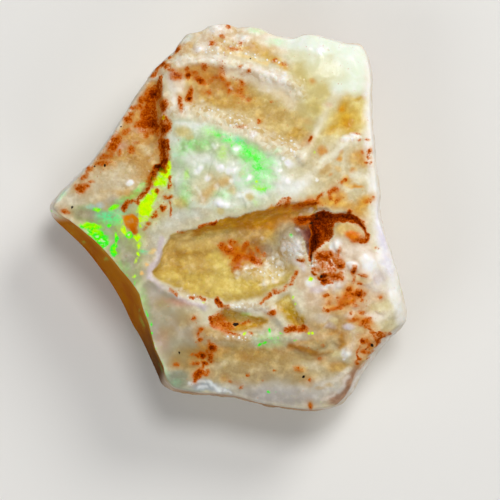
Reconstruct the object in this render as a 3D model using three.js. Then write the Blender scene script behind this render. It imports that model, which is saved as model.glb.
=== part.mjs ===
// Rough opal: one broken lump of pale opal, about 25 x 27 mm across and 10 mm thick, lying on its back.
// +X and +Y run across its best face and +Z points up out of that face.
// The origin is the middle of the underside, where the stone rests. All sizes are in millimetres.
import * as THREE from "three";

// How finely the skin is cut into triangles.
const FACE_RINGS = 24;
const COLUMNS = 6 * FACE_RINGS;
const SHOULDER_ROWS = 3;
const FLANK_ROWS = 3;
const UNDERSIDE_ROWS = 4;
const OUTLINE_SAMPLES = 1440;

// How far the height of one spot reaches, how wide the rounded rim is, and how far a step is spread.
const SPOT_REACH = 2.0;
const RIM_WIDTH = 0.6;
const STEP_SPREAD = 0.22;

// The broken outline, seen from above, counter-clockwise from the right-hand edge.
const OUTLINE = [
  [10.62, 0], [10.5, 1.96], [10.22, 4.55], [10.01, 6.86], [9.98, 8.61], [10, 9.66], [9.87, 10.64],
  [9.62, 11.5], [9.15, 12], [8.26, 12.11], [7.14, 12.43], [6.02, 12.71], [5.32, 12.71], [4.55, 12.5],
  [3.71, 12.6], [2.94, 12.85], [2.3, 13.13], [1.54, 13.25], [0.7, 13.2], [0.14, 13.4], [-0.49, 13.46],
  [-1.26, 13.34], [-1.96, 13], [-2.87, 12.78], [-3.3, 12.25], [-3.78, 11.5], [-4.55, 10.85],
  [-5.25, 10.15], [-6.3, 8.68], [-7.77, 6.37], [-8.61, 5.11], [-9.66, 3.85], [-11.06, 2.38],
  [-12.1, 1.26], [-12.43, 0.7], [-12.42, 0.28], [-12.15, -0.21], [-11.2, -1.12], [-10.08, -2.24],
  [-9.1, -3.5], [-8.26, -4.69], [-7.49, -6.02], [-6.79, -7.49], [-6.09, -8.68], [-5.04, -10.92],
  [-4.69, -11.69], [-4.13, -12.04], [-3.36, -12.25], [-1.96, -12.39], [-0.42, -12.46], [0.84, -12.67],
  [2.1, -13.02], [3.64, -13.3], [5.04, -13.45], [6.44, -13.45], [7.42, -13.27], [8.12, -12.88],
  [8.68, -12.18], [9.38, -10.92], [10.78, -9.03], [12.18, -7.56], [12.42, -7.14], [12.42, -6.58],
  [12.18, -5.53], [11.83, -3.99], [11.41, -2.73], [11.06, -1.54],
];

// How the sides run, by direction in degrees from +X: [direction, width of shoulder seen from above,
// bow of shoulder (under 1 bulges, over 1 is hollow), height of widest line, inset of foot, rounding of rim].
// The lower left is one tall, hollow fracture with a crisp upper edge, so its shoulder is wide.
const SIDES = [
  [0, 0.3, 0.7, 5.6, 0.7, 0.3], [30, 0.25, 0.6, 6.0, 1.0, 0.25], [50, 0.25, 0.6, 5.4, 0.9, 0.45],
  [70, 0.2, 0.6, 5.0, 1.2, 0.45], [90, 0.2, 0.6, 4.4, 0.7, 0.4], [110, 0.2, 0.6, 4.8, 1.0, 0.35],
  [130, 0.2, 0.7, 4.6, 0.8, 0.2], [150, 0.2, 0.8, 4.4, 0.6, 0.2], [170, 0.25, 0.8, 4.6, 0.7, 0.2],
  [177, 0.35, 0.9, 4.2, 0.6, 0.15], [181, 1.2, 1.3, 3.2, 0.6, 0], [190, 1.25, 1.5, 2.4, 0.5, 0],
  [206, 1.3, 1.6, 1.9, 0.4, 0], [221, 1.6, 1.6, 1.8, 0.4, 0], [233, 1.3, 1.5, 2.0, 0.5, 0],
  [241, 0.95, 1.4, 2.4, 0.6, 0.05], [247, 1.05, 1.2, 3.0, 0.7, 0.1], [252, 0.4, 0.9, 4.0, 0.8, 0.3],
  [262, 0.25, 0.7, 4.6, 0.9, 0.35], [280, 0.2, 0.7, 4.8, 0.7, 0.35], [300, 0.2, 0.7, 4.4, 0.9, 0.3],
  [309, 0.55, 0.9, 4.6, 0.8, 0.15], [317, 0.6, 1.0, 4.2, 0.7, 0.15], [323, 0.5, 0.9, 4.4, 0.8, 0.2],
  [329, 0.3, 0.7, 5.0, 0.8, 0.35], [345, 0.3, 0.7, 5.4, 0.9, 0.35],
];
const SHOULDER_WIDTH = 1;
const SHOULDER_BOW = 2;
const WIDEST_HEIGHT = 3;
const FOOT_INSET = 4;
const RIM_ROUNDING = 5;

// Flat breaks under the stone: past this distance from the middle, towards the direction in degrees,
// the underside rises at this slope. What they leave is the level seam that the stone rests on.
const BREAKS = [
  [12, 7.2, 0.85], [58, 9.4, 0.8], [100, 9.8, 0.6], [146, 6.6, 0.42], [182, 8.2, 0.7],
  [216, 8.7, 0.5], [263, 9.9, 0.75], [299, 10.8, 0.9], [331, 9.8, 0.75],
];
const BED_SHARE = 0.55;

// Heights of the face above the bed at chosen spots: [x, y, height].
const SPOTS = [
  // the pale table across the middle
  [-2, 4, 9.2], [1, 3, 9.25], [3.5, 3, 9.2], [-3.5, 1, 9.1], [0, 1.2, 9.3], [3.5, 1.6, 9.25],
  [6, 2.5, 9.15], [8.5, 2.5, 8.9], [10.2, 3, 8.3], [9, 4.8, 8.8], [-4.8, 0, 8.8],
  // the two crests and the long dip between them
  [-3, 7.4, 8.8], [0, 7, 8.9], [2, 5.8, 9], [4.5, 4.5, 9.1], [-2, 9.3, 8.45], [0, 8.7, 8.35],
  [2.5, 7.8, 8.35], [4.5, 6.5, 8.5], [-3.5, 10.5, 8.5], [0, 10.7, 8.8], [3.5, 9.9, 8.8],
  // the top edge
  [-1, 12, 8.1], [2, 11.8, 8.2], [0, 13.2, 7.2], [-3, 12.4, 7.2], [4, 12.5, 7.6], [-4.8, 10.5, 7.2],
  // the smooth dome at the upper right
  [6, 10.5, 9], [8, 10, 8.9], [7, 8.5, 8.9], [9.3, 11.5, 7.9], [9.7, 8, 8.3], [8.2, 7, 8.5],
  [6.5, 12.2, 8],
  // the sandy facet that falls away to the left tip
  [-6.5, 3, 8.3], [-9, 3, 7.4], [-7.5, 5.5, 7.7], [-11.8, 0.7, 6.5], [-5.3, 8.5, 7.6], [-6.6, 8, 6.9],
  [-10.3, 2.6, 6.7], [-8, 0.8, 8],
  // the glassy corner at the left and the smooth slope below it
  [-7, -1.5, 8.4], [-9.5, -0.8, 7.7], [-6, -3.5, 8.5], [-5, -6.5, 8.2], [-3.5, -9, 7.8],
  [-2.5, -11.7, 7.1], [-2.5, -6.8, 8.5],
  // the lower slope
  [1, -8.5, 8.3], [2, -10, 7.8], [3, -12.5, 6.7], [6, -10.5, 7.6], [7, -12.5, 6.8], [0.5, -6.3, 8.6],
  [4.5, -8.3, 8.3], [-0.5, -12, 7],
  // the lumpy shoulder at the right
  [9, -3, 8.9], [7, -4.7, 8.9], [11, -5, 8], [10, -8, 7.7], [8, -7.5, 8.4], [5.5, -5.3, 8.7],
  [10, -1, 8.6], [3, -5.5, 8.6], [9.5, -10, 7.1], [11.6, -7, 7.5],
];

// Hollows in the face: lip points [x, y, slope of the wall below that point], and the greatest depth.
const HOLLOWS = [
  { // the big sandy hollow, steep under its upper lip and rising gently to the lower one
    depth: 2.4,
    lip: [
      [-5.35, -3.75, 1.6], [-4.75, -3, 1.8], [-4.45, -2, 1.8], [-4.05, -1.25, 2.2], [-3.3, -0.85, 2.6],
      [-2, -0.75, 2.8], [-1, -0.4, 2.8], [0, 0, 2.6], [1.5, 0.45, 2.2], [3, 0.68, 2.2], [4, 0.95, 2.2],
      [5, 1.08, 2.4], [6, 1, 2.6], [6.2, 0.5, 2], [5.6, -0.3, 1.2], [5.4, -1.5, 0.9], [5.2, -2.6, 0.8],
      [4.75, -3.3, 0.7], [4.65, -3.9, 0.7], [4.2, -4.75, 0.6], [3.3, -5.1, 0.55], [2.6, -5.6, 0.5],
      [1, -5.9, 0.55], [0, -6.05, 0.6], [-0.6, -5.85, 0.55], [-1.5, -6, 0.5], [-2, -5.7, 0.5],
      [-3, -5.4, 0.55], [-4, -5, 0.7], [-5.1, -4.3, 1],
    ],
  },
  { // the dark rusty cleft at its right-hand end
    depth: 1.9,
    lip: [
      [4.9, -0.25, 1.2], [5.5, 0.05, 1.8], [6, 0.5, 2.2], [6.6, 0.72, 2.2], [7.3, 0.35, 2.2],
      [8.3, 0.33, 2], [8.95, 0, 1.6], [9.3, -0.35, 1.2], [9.6, -0.9, 1], [9.7, -1.45, 0.8],
      [9.3, -1.3, 1], [8.9, -0.75, 1.2], [8.4, -0.45, 1.4], [7.7, -0.55, 1.6], [7.3, -0.9, 1.8],
      [7.2, -1.5, 1.8], [6.5, -1.9, 1.8], [6.1, -2.5, 1.8], [5.75, -3.25, 1.8], [5.45, -2.5, 1.8],
      [5.6, -1.5, 1.8], [5.5, -0.8, 1.6],
    ],
  },
  { // the orange pit
    depth: 0.75,
    lip: [
      [-1.25, -7.3, 1], [-0.7, -6.55, 1.4], [0, -6.2, 1.6], [1, -6.6, 1.6], [2, -6.85, 1.4],
      [3, -7, 1.2], [2.9, -7.45, 1], [2.4, -7.85, 0.8], [1.4, -8.05, 0.8], [0, -8.1, 0.7],
      [-0.9, -7.75, 0.7],
    ],
  },
  { // the olive pit
    depth: 0.8,
    lip: [
      [3.15, -5.9, 1.2], [3.7, -5.35, 1.2], [4.25, -5.1, 1], [4.65, -5.8, 0.9], [5.1, -6.4, 1],
      [5.6, -7.1, 1], [5.45, -7.85, 1.1], [4.5, -7.85, 1.2], [4, -7.3, 1.2], [3.5, -6.6, 1.4],
    ],
  },
  { // the step down from the table to the left facet, along a rusty crack
    depth: 0.8,
    lip: [
      [-4.75, 9.6, 1.6], [-4.4, 8.2, 2.2], [-4.6, 7, 2.4], [-4.2, 6, 2.4], [-4.15, 5, 2.4],
      [-4.2, 4.2, 2.4], [-4.5, 3.4, 2.2], [-5.05, 2.6, 2], [-5.6, 1.9, 1.8], [-6.2, 1.2, 1.4],
      [-7.3, 0.7, 0.5], [-9, -0.4, 0.1], [-11.4, -0.6, 0.08], [-12.8, 0.6, 0.08], [-10.8, 3.2, 0.14],
      [-9, 5.2, 0.2], [-7.6, 7.2, 0.3], [-6.6, 8.6, 0.35], [-5.7, 9.6, 0.5],
    ],
  },
  { // the rusty pocket at the top of that crack
    depth: 0.7,
    lip: [
      [-4.7, 9.7, 1], [-4.4, 8.9, 1.4], [-4.45, 8.2, 1.6], [-4.8, 7.3, 1.6], [-4.75, 6.4, 1.4],
      [-5.3, 6, 1.2], [-6, 6.2, 1], [-6.2, 7, 1], [-6, 8, 1], [-5.6, 8.8, 1], [-5.1, 9.4, 1],
    ],
  },
  { // the long stained dip between the two crests
    depth: 0.9,
    lip: [
      [-3.9, 9.9, 0.4], [-2.8, 10.45, 0.5], [-1.3, 10.45, 0.55], [0.3, 10.35, 0.55], [1.8, 10, 0.5],
      [3, 9.2, 0.45], [4.4, 8.6, 0.4], [5.4, 7.6, 0.35], [6.1, 6.6, 0.4], [5.7, 5.3, 0.8],
      [5.1, 4.3, 0.9], [4.2, 4.7, 0.75], [3.2, 5.2, 0.7], [1.9, 5.75, 0.65], [1.2, 6.3, 0.6],
      [0.4, 6.9, 0.5], [-1, 7.2, 0.45], [-2.2, 7.6, 0.4], [-3.4, 8.6, 0.4],
    ],
  },
  { // the yellow dish near the right-hand edge
    depth: 0.45,
    lip: [
      [7.1, 6, 0.5], [7.5, 8, 0.4], [8.6, 8.4, 0.4], [9.6, 8.3, 0.4], [9.6, 6.2, 0.4],
      [8.7, 5.65, 0.9], [7.8, 5.6, 0.8],
    ],
  },
  { // the slight step onto the lower slope
    depth: 0.4,
    lip: [
      [-0.9, -8.65, 0.7], [1, -8.8, 0.8], [3, -8.95, 0.8], [4.8, -8.85, 1], [5.2, -9.2, 1.1],
      [6.2, -9.4, 1.1], [7.1, -9.1, 1], [7.6, -8.4, 0.8], [8.2, -9, 0.5], [8, -10.2, 0.3],
      [6.5, -11.4, 0.2], [4, -11.2, 0.15], [1, -10.6, 0.15], [-1, -9.6, 0.2],
    ],
  },
];

// Ridges on the face: height, half width, and the points that the crest runs through.
const RIDGES = [
  {
    height: 0.35, width: 0.55,
    crest: [[-4.2, 10.2], [-2.8, 10.75], [0, 10.65], [1.4, 10.85], [2.6, 10.2], [4.6, 9.2]],
  },
  {
    height: 0.3, width: 0.5,
    crest: [[-4.1, 7.6], [-1.6, 6.95], [0.6, 6.9], [2, 5.5], [4.2, 4.4], [5, 4.15]],
  },
  { height: 0.2, width: 0.4, crest: [[5.1, 4.1], [5.8, 5.2], [6.3, 6.1], [6.5, 7.2]] },
  { height: 0.15, width: 0.35, crest: [[6.1, 3.3], [7.2, 4.3], [8.1, 5.1]] },
  { height: 0.22, width: 0.3, crest: [[-5.4, -4.4], [-4.2, -5.25], [-3, -5.7], [-1.9, -6.1]] },
  { height: 0.2, width: 0.3, crest: [[0.2, -6.2], [1.2, -6.15], [2.9, -6.2], [3.5, -7], [3.9, -7.6]] },
  { height: 0.2, width: 0.45, crest: [[-4.6, -1], [-5, -2.2], [-5.6, -3.4]] },
  { height: 0.2, width: 0.35, crest: [[-1.3, -8.2], [0.4, -8.4], [3, -8.4], [5.8, -8]] },
  { height: 0.15, width: 0.5, crest: [[-4.2, -0.4], [-2.2, -0.2], [-0.6, 0.3], [1.5, 0.9], [3.2, 1.15]] },
];

// Lumps on the face: [x, y, half length, half width, turn in degrees, height].
const LUMPS = [
  [4.4, -1.7, 0.9, 1.3, -20, 0.65], [5.15, -1.5, 0.5, 1.1, -15, 0.25], [7.75, -1.2, 0.9, 0.6, 20, 0.45],
  [8.9, -1.35, 0.6, 0.35, 0, 0.25], [6.35, -8.65, 0.8, 0.45, 10, 0.35], [8.25, -9.4, 0.4, 0.45, 0, 0.35],
  [1.7, 13, 0.8, 0.6, 0, 0.3], [-0.6, 13, 0.8, 0.5, 0, 0.4], [5.8, 12.2, 1, 0.6, 0, 0.2],
  [-0.7, 11.55, 0.9, 0.4, 0, 0.3], [9.5, -3.2, 0.8, 1.3, 15, 0.3], [7.9, -4.5, 0.7, 0.45, 20, 0.3],
  [8.8, -6.8, 0.6, 0.45, 0, 0.25], [6.6, -3.7, 0.6, 0.5, 0, 0.25], [-7.2, 2.4, 1.6, 0.9, -20, 0.15],
  [2.2, -4.3, 1.5, 0.5, -5, 0.25], [-2.6, -4.6, 1.6, 0.5, -25, 0.2], [1, -3.6, 1.3, 0.5, -25, 0.25],
];

// Flat breaks across the face: beyond [x, y], towards the direction in degrees, it falls at this slope.
const CHAMFERS = [
  [8.5, -10.9, 326, 0.9], [9.2, 11.2, 40, 0.8], [-3.4, 11.9, 140, 0.6], [-5.2, -10.9, 225, 0.5],
];

// Shell-shaped breaks in the sides: [direction in degrees, height of middle, half width, half height, depth].
const FLAKES = [
  [188, 2.2, 3.2, 3.2, 0.5], [262, 2.0, 3.6, 3.4, 1.2], [281, 2.6, 4.4, 3.8, 1.0], [301, 2.2, 3.4, 3.2, 1.3],
  [320, 2.8, 3.6, 3.6, 1.1], [343, 2.8, 4.2, 3.6, 1.4], [4, 3.0, 3.6, 3.8, 0.9], [24, 3.2, 3.8, 3.6, 1.3],
  [44, 3.4, 3.4, 3.6, 0.9], [62, 3.0, 3.6, 3.2, 1.3], [80, 2.8, 3.6, 3.4, 0.9], [98, 2.2, 3.8, 3.0, 1.2],
  [118, 2.6, 3.8, 3.6, 1.1], [136, 2.4, 3.4, 3.2, 1.0], [156, 2.8, 3.8, 3.6, 0.9], [173, 2.4, 3.0, 3.0, 1.2],
];

const FULL_TURN = 2 * Math.PI;
const toRadians = THREE.MathUtils.degToRad;
const mix = THREE.MathUtils.lerp;
const wrapTurn = (angle) => THREE.MathUtils.euclideanModulo(angle, FULL_TURN);

// Distance from a place to the stretch from one point to the next, and how far along it that is.
function toStretch(x, y, from, to) {
  const runX = to[0] - from[0];
  const runY = to[1] - from[1];
  const raw = ((x - from[0]) * runX + (y - from[1]) * runY) / (runX * runX + runY * runY);
  const along = THREE.MathUtils.clamp(raw, 0, 1);
  const away = Math.hypot(x - from[0] - along * runX, y - from[1] - along * runY);
  return { along, away };
}

function isInside(x, y, lip) {
  let inside = false;
  for (let i = 0; i < lip.length; i += 1) {
    const [x1, y1] = lip[i];
    const [x2, y2] = lip[(i + 1) % lip.length];
    const crosses = (y1 > y) !== (y2 > y);
    if (crosses && x < x1 + ((x2 - x1) * (y - y1)) / (y2 - y1)) {
      inside = !inside;
    }
  }
  return inside;
}

// Each wall of a hollow falls from its own stretch of lip; the nearest one sets the depth.
function hollowDepth(x, y, { lip, depth }) {
  if (!isInside(x, y, lip)) {
    return 0;
  }
  let fall = Infinity;
  for (let i = 0; i < lip.length; i += 1) {
    const from = lip[i];
    const to = lip[(i + 1) % lip.length];
    const { along, away } = toStretch(x, y, from, to);
    fall = Math.min(fall, away * mix(from[2], to[2], along));
  }
  return depth * (1 - Math.exp(-fall / depth));
}

function ridgeHeight(x, y, { crest, width, height }) {
  let nearest = Infinity;
  for (let i = 0; i + 1 < crest.length; i += 1) {
    nearest = Math.min(nearest, toStretch(x, y, crest[i], crest[i + 1]).away);
  }
  return height * Math.exp(-((nearest / width) ** 2));
}

function lumpHeight(x, y, [middleX, middleY, halfLength, halfWidth, turn, height]) {
  const cos = Math.cos(toRadians(turn));
  const sin = Math.sin(toRadians(turn));
  const along = ((x - middleX) * cos + (y - middleY) * sin) / halfLength;
  const across = ((y - middleY) * cos - (x - middleX) * sin) / halfWidth;
  return height * Math.exp(-(along * along + across * across));
}

function chamferDepth(x, y, [startX, startY, direction, slope]) {
  const cos = Math.cos(toRadians(direction));
  const sin = Math.sin(toRadians(direction));
  return slope * Math.max(0, (x - startX) * cos + (y - startY) * sin);
}

function sharpFaceHeight(x, y) {
  let weighted = 0;
  let weights = 0;
  for (const [spotX, spotY, spotHeight] of SPOTS) {
    const weight = Math.exp(-((x - spotX) ** 2 + (y - spotY) ** 2) / SPOT_REACH ** 2);
    weighted += weight * spotHeight;
    weights += weight;
  }
  let height = weighted / weights;
  RIDGES.forEach((ridge) => { height += ridgeHeight(x, y, ridge); });
  HOLLOWS.forEach((hollow) => { height -= hollowDepth(x, y, hollow); });
  LUMPS.forEach((lump) => { height += lumpHeight(x, y, lump); });
  CHAMFERS.forEach((chamfer) => { height -= chamferDepth(x, y, chamfer); });
  return height;
}

// A step narrower than one triangle is spread over it, so that its edge isn't ragged.
function faceHeight(x, y) {
  const around = [[0, 0], [STEP_SPREAD, 0], [-STEP_SPREAD, 0], [0, STEP_SPREAD], [0, -STEP_SPREAD]];
  const heights = around.map(([dx, dy]) => sharpFaceHeight(x + dx, y + dy));
  return heights.reduce((sum, height) => sum + height, 0) / heights.length;
}

function undersideHeight(x, y) {
  const rises = BREAKS.map(([direction, start, slope]) => {
    const out = x * Math.cos(toRadians(direction)) + y * Math.sin(toRadians(direction));
    return slope * (out - start);
  });
  return Math.max(0, ...rises);
}

// The outline as a smooth closed curve, read back as a radius for each direction.
const outlineCurve = new THREE.CatmullRomCurve3(
  OUTLINE.map(([x, y]) => new THREE.Vector3(x, y, 0)), true, "centripetal",
);
const outlineRays = outlineCurve.getPoints(OUTLINE_SAMPLES)
  .slice(0, OUTLINE_SAMPLES)
  .map((point) => ({ angle: wrapTurn(Math.atan2(point.y, point.x)), radius: point.length() }))
  .sort((a, b) => a.angle - b.angle);

function outlineRadius(angle) {
  const next = Math.max(0, outlineRays.findIndex((ray) => ray.angle > angle));
  const after = outlineRays[next];
  const before = outlineRays[(next + outlineRays.length - 1) % outlineRays.length];
  const along = wrapTurn(angle - before.angle) / wrapTurn(after.angle - before.angle);
  return mix(before.radius, after.radius, along);
}

function sideValue(angle, column) {
  const degrees = THREE.MathUtils.radToDeg(angle);
  const next = SIDES.findIndex((side) => side[0] > degrees);
  const after = SIDES[next < 0 ? 0 : next];
  const before = SIDES[(next < 0 ? SIDES.length : next) - 1];
  const end = next < 0 ? after[0] + 360 : after[0];
  return mix(before[column], after[column], (degrees - before[0]) / (end - before[0]));
}

// The deepest flake at a place on the side wins, which leaves a sharp edge where two flakes meet.
function flakeDepth(angle, height, radius) {
  let deepest = 0;
  for (const [direction, middle, halfWidth, halfHeight, depth] of FLAKES) {
    const turn = wrapTurn(angle - toRadians(direction) + Math.PI) - Math.PI;
    const reach = ((turn * radius) / halfWidth) ** 2 + ((height - middle) / halfHeight) ** 2;
    deepest = Math.max(deepest, depth * (1 - reach));
  }
  return deepest;
}

// A place on the skin at one direction, with its distance from the middle.
function skinPoint(angle, radius, height) {
  return [radius * Math.cos(angle), radius * Math.sin(angle), height];
}

// The skin's points and triangles, filled in from the face down to the bed.
const positions = [];
const faces = [];
const columnAngle = (column, count) => (FULL_TURN * column) / count;
const ringStart = (ring) => (ring === 0 ? 0 : 1 + 3 * ring * (ring - 1));

// The face: rings of 6, 12, 18 ... points, out to the rim.
positions.push(0, 0, faceHeight(0, 0));
for (let ring = 1; ring <= FACE_RINGS; ring += 1) {
  for (let i = 0; i < 6 * ring; i += 1) {
    const angle = columnAngle(i, 6 * ring);
    const rim = outlineRadius(angle) - sideValue(angle, SHOULDER_WIDTH);
    const radius = (rim * ring) / FACE_RINGS;
    const [x, y] = skinPoint(angle, radius, 0);
    const rounding = sideValue(angle, RIM_ROUNDING) * Math.exp(-(((rim - radius) / RIM_WIDTH) ** 2));
    positions.push(x, y, faceHeight(x, y) - rounding);
  }
}
for (let ring = 1; ring <= FACE_RINGS; ring += 1) {
  const outer = (step) => ringStart(ring) + (step % (6 * ring));
  const inner = (step) => ringStart(ring - 1) + (ring === 1 ? 0 : step % (6 * (ring - 1)));
  for (let sector = 0; sector < 6; sector += 1) {
    for (let i = 0; i < ring; i += 1) {
      const out = sector * ring + i;
      const within = sector * (ring - 1) + i;
      faces.push(outer(out), outer(out + 1), inner(within));
      if (i < ring - 1) {
        faces.push(inner(within), outer(out + 1), inner(within + 1));
      }
    }
  }
}

// The side of one column, from just below the rim to the level bed, as points in order.
function sideProfile(column) {
  const angle = columnAngle(column, COLUMNS);
  const widest = outlineRadius(angle);
  const rim = widest - sideValue(angle, SHOULDER_WIDTH);
  const rimHeight = positions[3 * (ringStart(FACE_RINGS) + column) + 2];
  const waist = sideValue(angle, WIDEST_HEIGHT);
  const foot = widest - sideValue(angle, FOOT_INSET);
  const footHeight = undersideHeight(...skinPoint(angle, foot, 0));
  const profile = [];
  for (let row = 1; row <= SHOULDER_ROWS; row += 1) {
    const part = row / SHOULDER_ROWS;
    const radius = mix(rim, widest, part ** sideValue(angle, SHOULDER_BOW));
    profile.push(skinPoint(angle, radius, mix(rimHeight, waist, part)));
  }
  for (let row = 1; row <= FLANK_ROWS; row += 1) {
    const part = row / FLANK_ROWS;
    const height = mix(waist, footHeight, part);
    const flake = flakeDepth(angle, height, widest) * Math.sin((part * Math.PI) / 2);
    profile.push(skinPoint(angle, mix(widest, foot, part) - flake, height));
  }
  const [footX, footY] = profile[profile.length - 1];
  for (let row = 1; row <= UNDERSIDE_ROWS; row += 1) {
    const share = mix(1, BED_SHARE, row / UNDERSIDE_ROWS);
    profile.push([footX * share, footY * share, undersideHeight(footX * share, footY * share)]);
  }
  return profile;
}

const SIDE_ROWS = SHOULDER_ROWS + FLANK_ROWS + UNDERSIDE_ROWS;
const sideStart = positions.length / 3;
function sideIndex(row, column) {
  const wrapped = column % COLUMNS;
  return row === 0 ? ringStart(FACE_RINGS) + wrapped : sideStart + wrapped * SIDE_ROWS + row - 1;
}
for (let column = 0; column < COLUMNS; column += 1) {
  positions.push(...sideProfile(column).flat());
}
for (let column = 0; column < COLUMNS; column += 1) {
  for (let row = 0; row < SIDE_ROWS; row += 1) {
    const upper = sideIndex(row, column);
    const upperNext = sideIndex(row, column + 1);
    const lower = sideIndex(row + 1, column);
    const lowerNext = sideIndex(row + 1, column + 1);
    faces.push(upper, lower, lowerNext, upper, lowerNext, upperNext);
  }
}

// The bed is one flat polygon, fanned from its middle.
const bedMiddle = positions.length / 3;
positions.push(0, 0, 0);
for (let column = 0; column < COLUMNS; column += 1) {
  faces.push(bedMiddle, sideIndex(SIDE_ROWS, column + 1), sideIndex(SIDE_ROWS, column));
}

const skin = new THREE.BufferGeometry();
skin.setAttribute("position", new THREE.Float32BufferAttribute(positions, 3));
skin.setIndex(faces);
skin.computeBoundingBox();
const middle = skin.boundingBox.getCenter(new THREE.Vector3());
skin.translate(-middle.x, -middle.y, -skin.boundingBox.min.z);
skin.computeVertexNormals();

const opal = new THREE.MeshStandardMaterial({ color: 0xd9cfae, roughness: 0.4, metalness: 0 });
const stone = new THREE.Mesh(skin, opal);
stone.name = "rough_opal";

const part = new THREE.Group();
part.add(stone);

export default part;
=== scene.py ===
import math

import bpy
import numpy as np
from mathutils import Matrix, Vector


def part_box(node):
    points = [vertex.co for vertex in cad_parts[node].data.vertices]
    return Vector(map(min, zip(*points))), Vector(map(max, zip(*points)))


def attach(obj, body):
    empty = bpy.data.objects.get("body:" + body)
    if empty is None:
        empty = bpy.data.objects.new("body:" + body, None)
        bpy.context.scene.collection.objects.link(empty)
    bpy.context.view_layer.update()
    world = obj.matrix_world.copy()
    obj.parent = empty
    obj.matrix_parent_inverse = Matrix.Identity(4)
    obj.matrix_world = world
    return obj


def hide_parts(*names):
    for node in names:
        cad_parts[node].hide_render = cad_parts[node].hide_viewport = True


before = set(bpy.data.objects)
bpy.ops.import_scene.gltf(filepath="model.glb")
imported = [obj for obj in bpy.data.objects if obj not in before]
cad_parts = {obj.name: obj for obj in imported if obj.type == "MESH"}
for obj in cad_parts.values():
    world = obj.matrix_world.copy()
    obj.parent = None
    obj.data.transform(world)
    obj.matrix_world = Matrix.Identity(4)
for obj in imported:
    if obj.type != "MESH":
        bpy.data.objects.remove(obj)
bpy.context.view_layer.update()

# ----------------------------
# The broken outline and the sides.
# The stone is one lump of opal snapped out of its seam, a flat, six-cornered chunk. Its sides are
# breaks: the lower left one is tall, hollow and glassy, the others are narrow and uneven.
# ----------------------------
MM = 0.001

# The widest line round the stone, seen from above.
OUTLINE = [
    (10.62, 0), (10.5, 1.96), (10.22, 4.55), (10.01, 6.86), (9.98, 8.61), (10, 9.66), (9.87, 10.64),
    (9.62, 11.5), (9.15, 12), (8.26, 12.11), (7.14, 12.43), (6.02, 12.71), (5.32, 12.71), (4.55, 12.5),
    (3.71, 12.6), (2.94, 12.85), (2.3, 13.13), (1.54, 13.25), (0.7, 13.2), (0.14, 13.4), (-0.49, 13.46),
    (-1.26, 13.34), (-1.96, 13), (-2.87, 12.78), (-3.3, 12.25), (-3.78, 11.5), (-4.55, 10.85),
    (-5.25, 10.15), (-6.3, 8.68), (-7.77, 6.37), (-8.61, 5.11), (-9.66, 3.85), (-11.06, 2.38),
    (-12.1, 1.26), (-12.43, 0.7), (-12.42, 0.28), (-12.15, -0.21), (-11.2, -1.12), (-10.08, -2.24),
    (-9.1, -3.5), (-8.26, -4.69), (-7.49, -6.02), (-6.79, -7.49), (-6.09, -8.68), (-5.04, -10.92),
    (-4.69, -11.69), (-4.13, -12.04), (-3.36, -12.25), (-1.96, -12.39), (-0.42, -12.46), (0.84, -12.67),
    (2.1, -13.02), (3.64, -13.3), (5.04, -13.45), (6.44, -13.45), (7.42, -13.27), (8.12, -12.88),
    (8.68, -12.18), (9.38, -10.92), (10.78, -9.03), (12.18, -7.56), (12.42, -7.14), (12.42, -6.58),
    (12.18, -5.53), (11.83, -3.99), (11.41, -2.73), (11.06, -1.54),
]

# By direction in degrees: width of shoulder, bow of shoulder, height of widest line, inset of foot,
# rounding of rim.
SIDES = np.array([
    (0, 0.3, 0.7, 5.6, 0.7, 0.3), (30, 0.25, 0.6, 6, 1, 0.25), (50, 0.25, 0.6, 5.4, 0.9, 0.45),
    (70, 0.2, 0.6, 5, 1.2, 0.45), (90, 0.2, 0.6, 4.4, 0.7, 0.4), (110, 0.2, 0.6, 4.8, 1, 0.35),
    (130, 0.2, 0.7, 4.6, 0.8, 0.2), (150, 0.2, 0.8, 4.4, 0.6, 0.2), (170, 0.25, 0.8, 4.6, 0.7, 0.2),
    (177, 0.35, 0.9, 4.2, 0.6, 0.15), (181, 1.2, 1.3, 3.2, 0.6, 0), (190, 1.25, 1.5, 2.4, 0.5, 0),
    (206, 1.3, 1.6, 1.9, 0.4, 0), (221, 1.6, 1.6, 1.8, 0.4, 0), (233, 1.3, 1.5, 2, 0.5, 0),
    (241, 0.95, 1.4, 2.4, 0.6, 0.05), (247, 1.05, 1.2, 3, 0.7, 0.1), (252, 0.4, 0.9, 4, 0.8, 0.3),
    (262, 0.25, 0.7, 4.6, 0.9, 0.35), (280, 0.2, 0.7, 4.8, 0.7, 0.35), (300, 0.2, 0.7, 4.4, 0.9, 0.3),
    (309, 0.55, 0.9, 4.6, 0.8, 0.15), (317, 0.6, 1, 4.2, 0.7, 0.15), (323, 0.5, 0.9, 4.4, 0.8, 0.2),
    (329, 0.3, 0.7, 5, 0.8, 0.35), (345, 0.3, 0.7, 5.4, 0.9, 0.35),
])
SHOULDER_WIDTH, SHOULDER_BOW, WIDEST_HEIGHT, FOOT_INSET, RIM_ROUNDING = range(1, 6)

# Flat breaks underneath: direction in degrees, distance from the middle, slope.
BREAKS = [
    (12, 7.2, 0.85), (58, 9.4, 0.8), (100, 9.8, 0.6), (146, 6.6, 0.42), (182, 8.2, 0.7), (216, 8.7, 0.5),
    (263, 9.9, 0.75), (299, 10.8, 0.9), (331, 9.8, 0.75),
]

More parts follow.
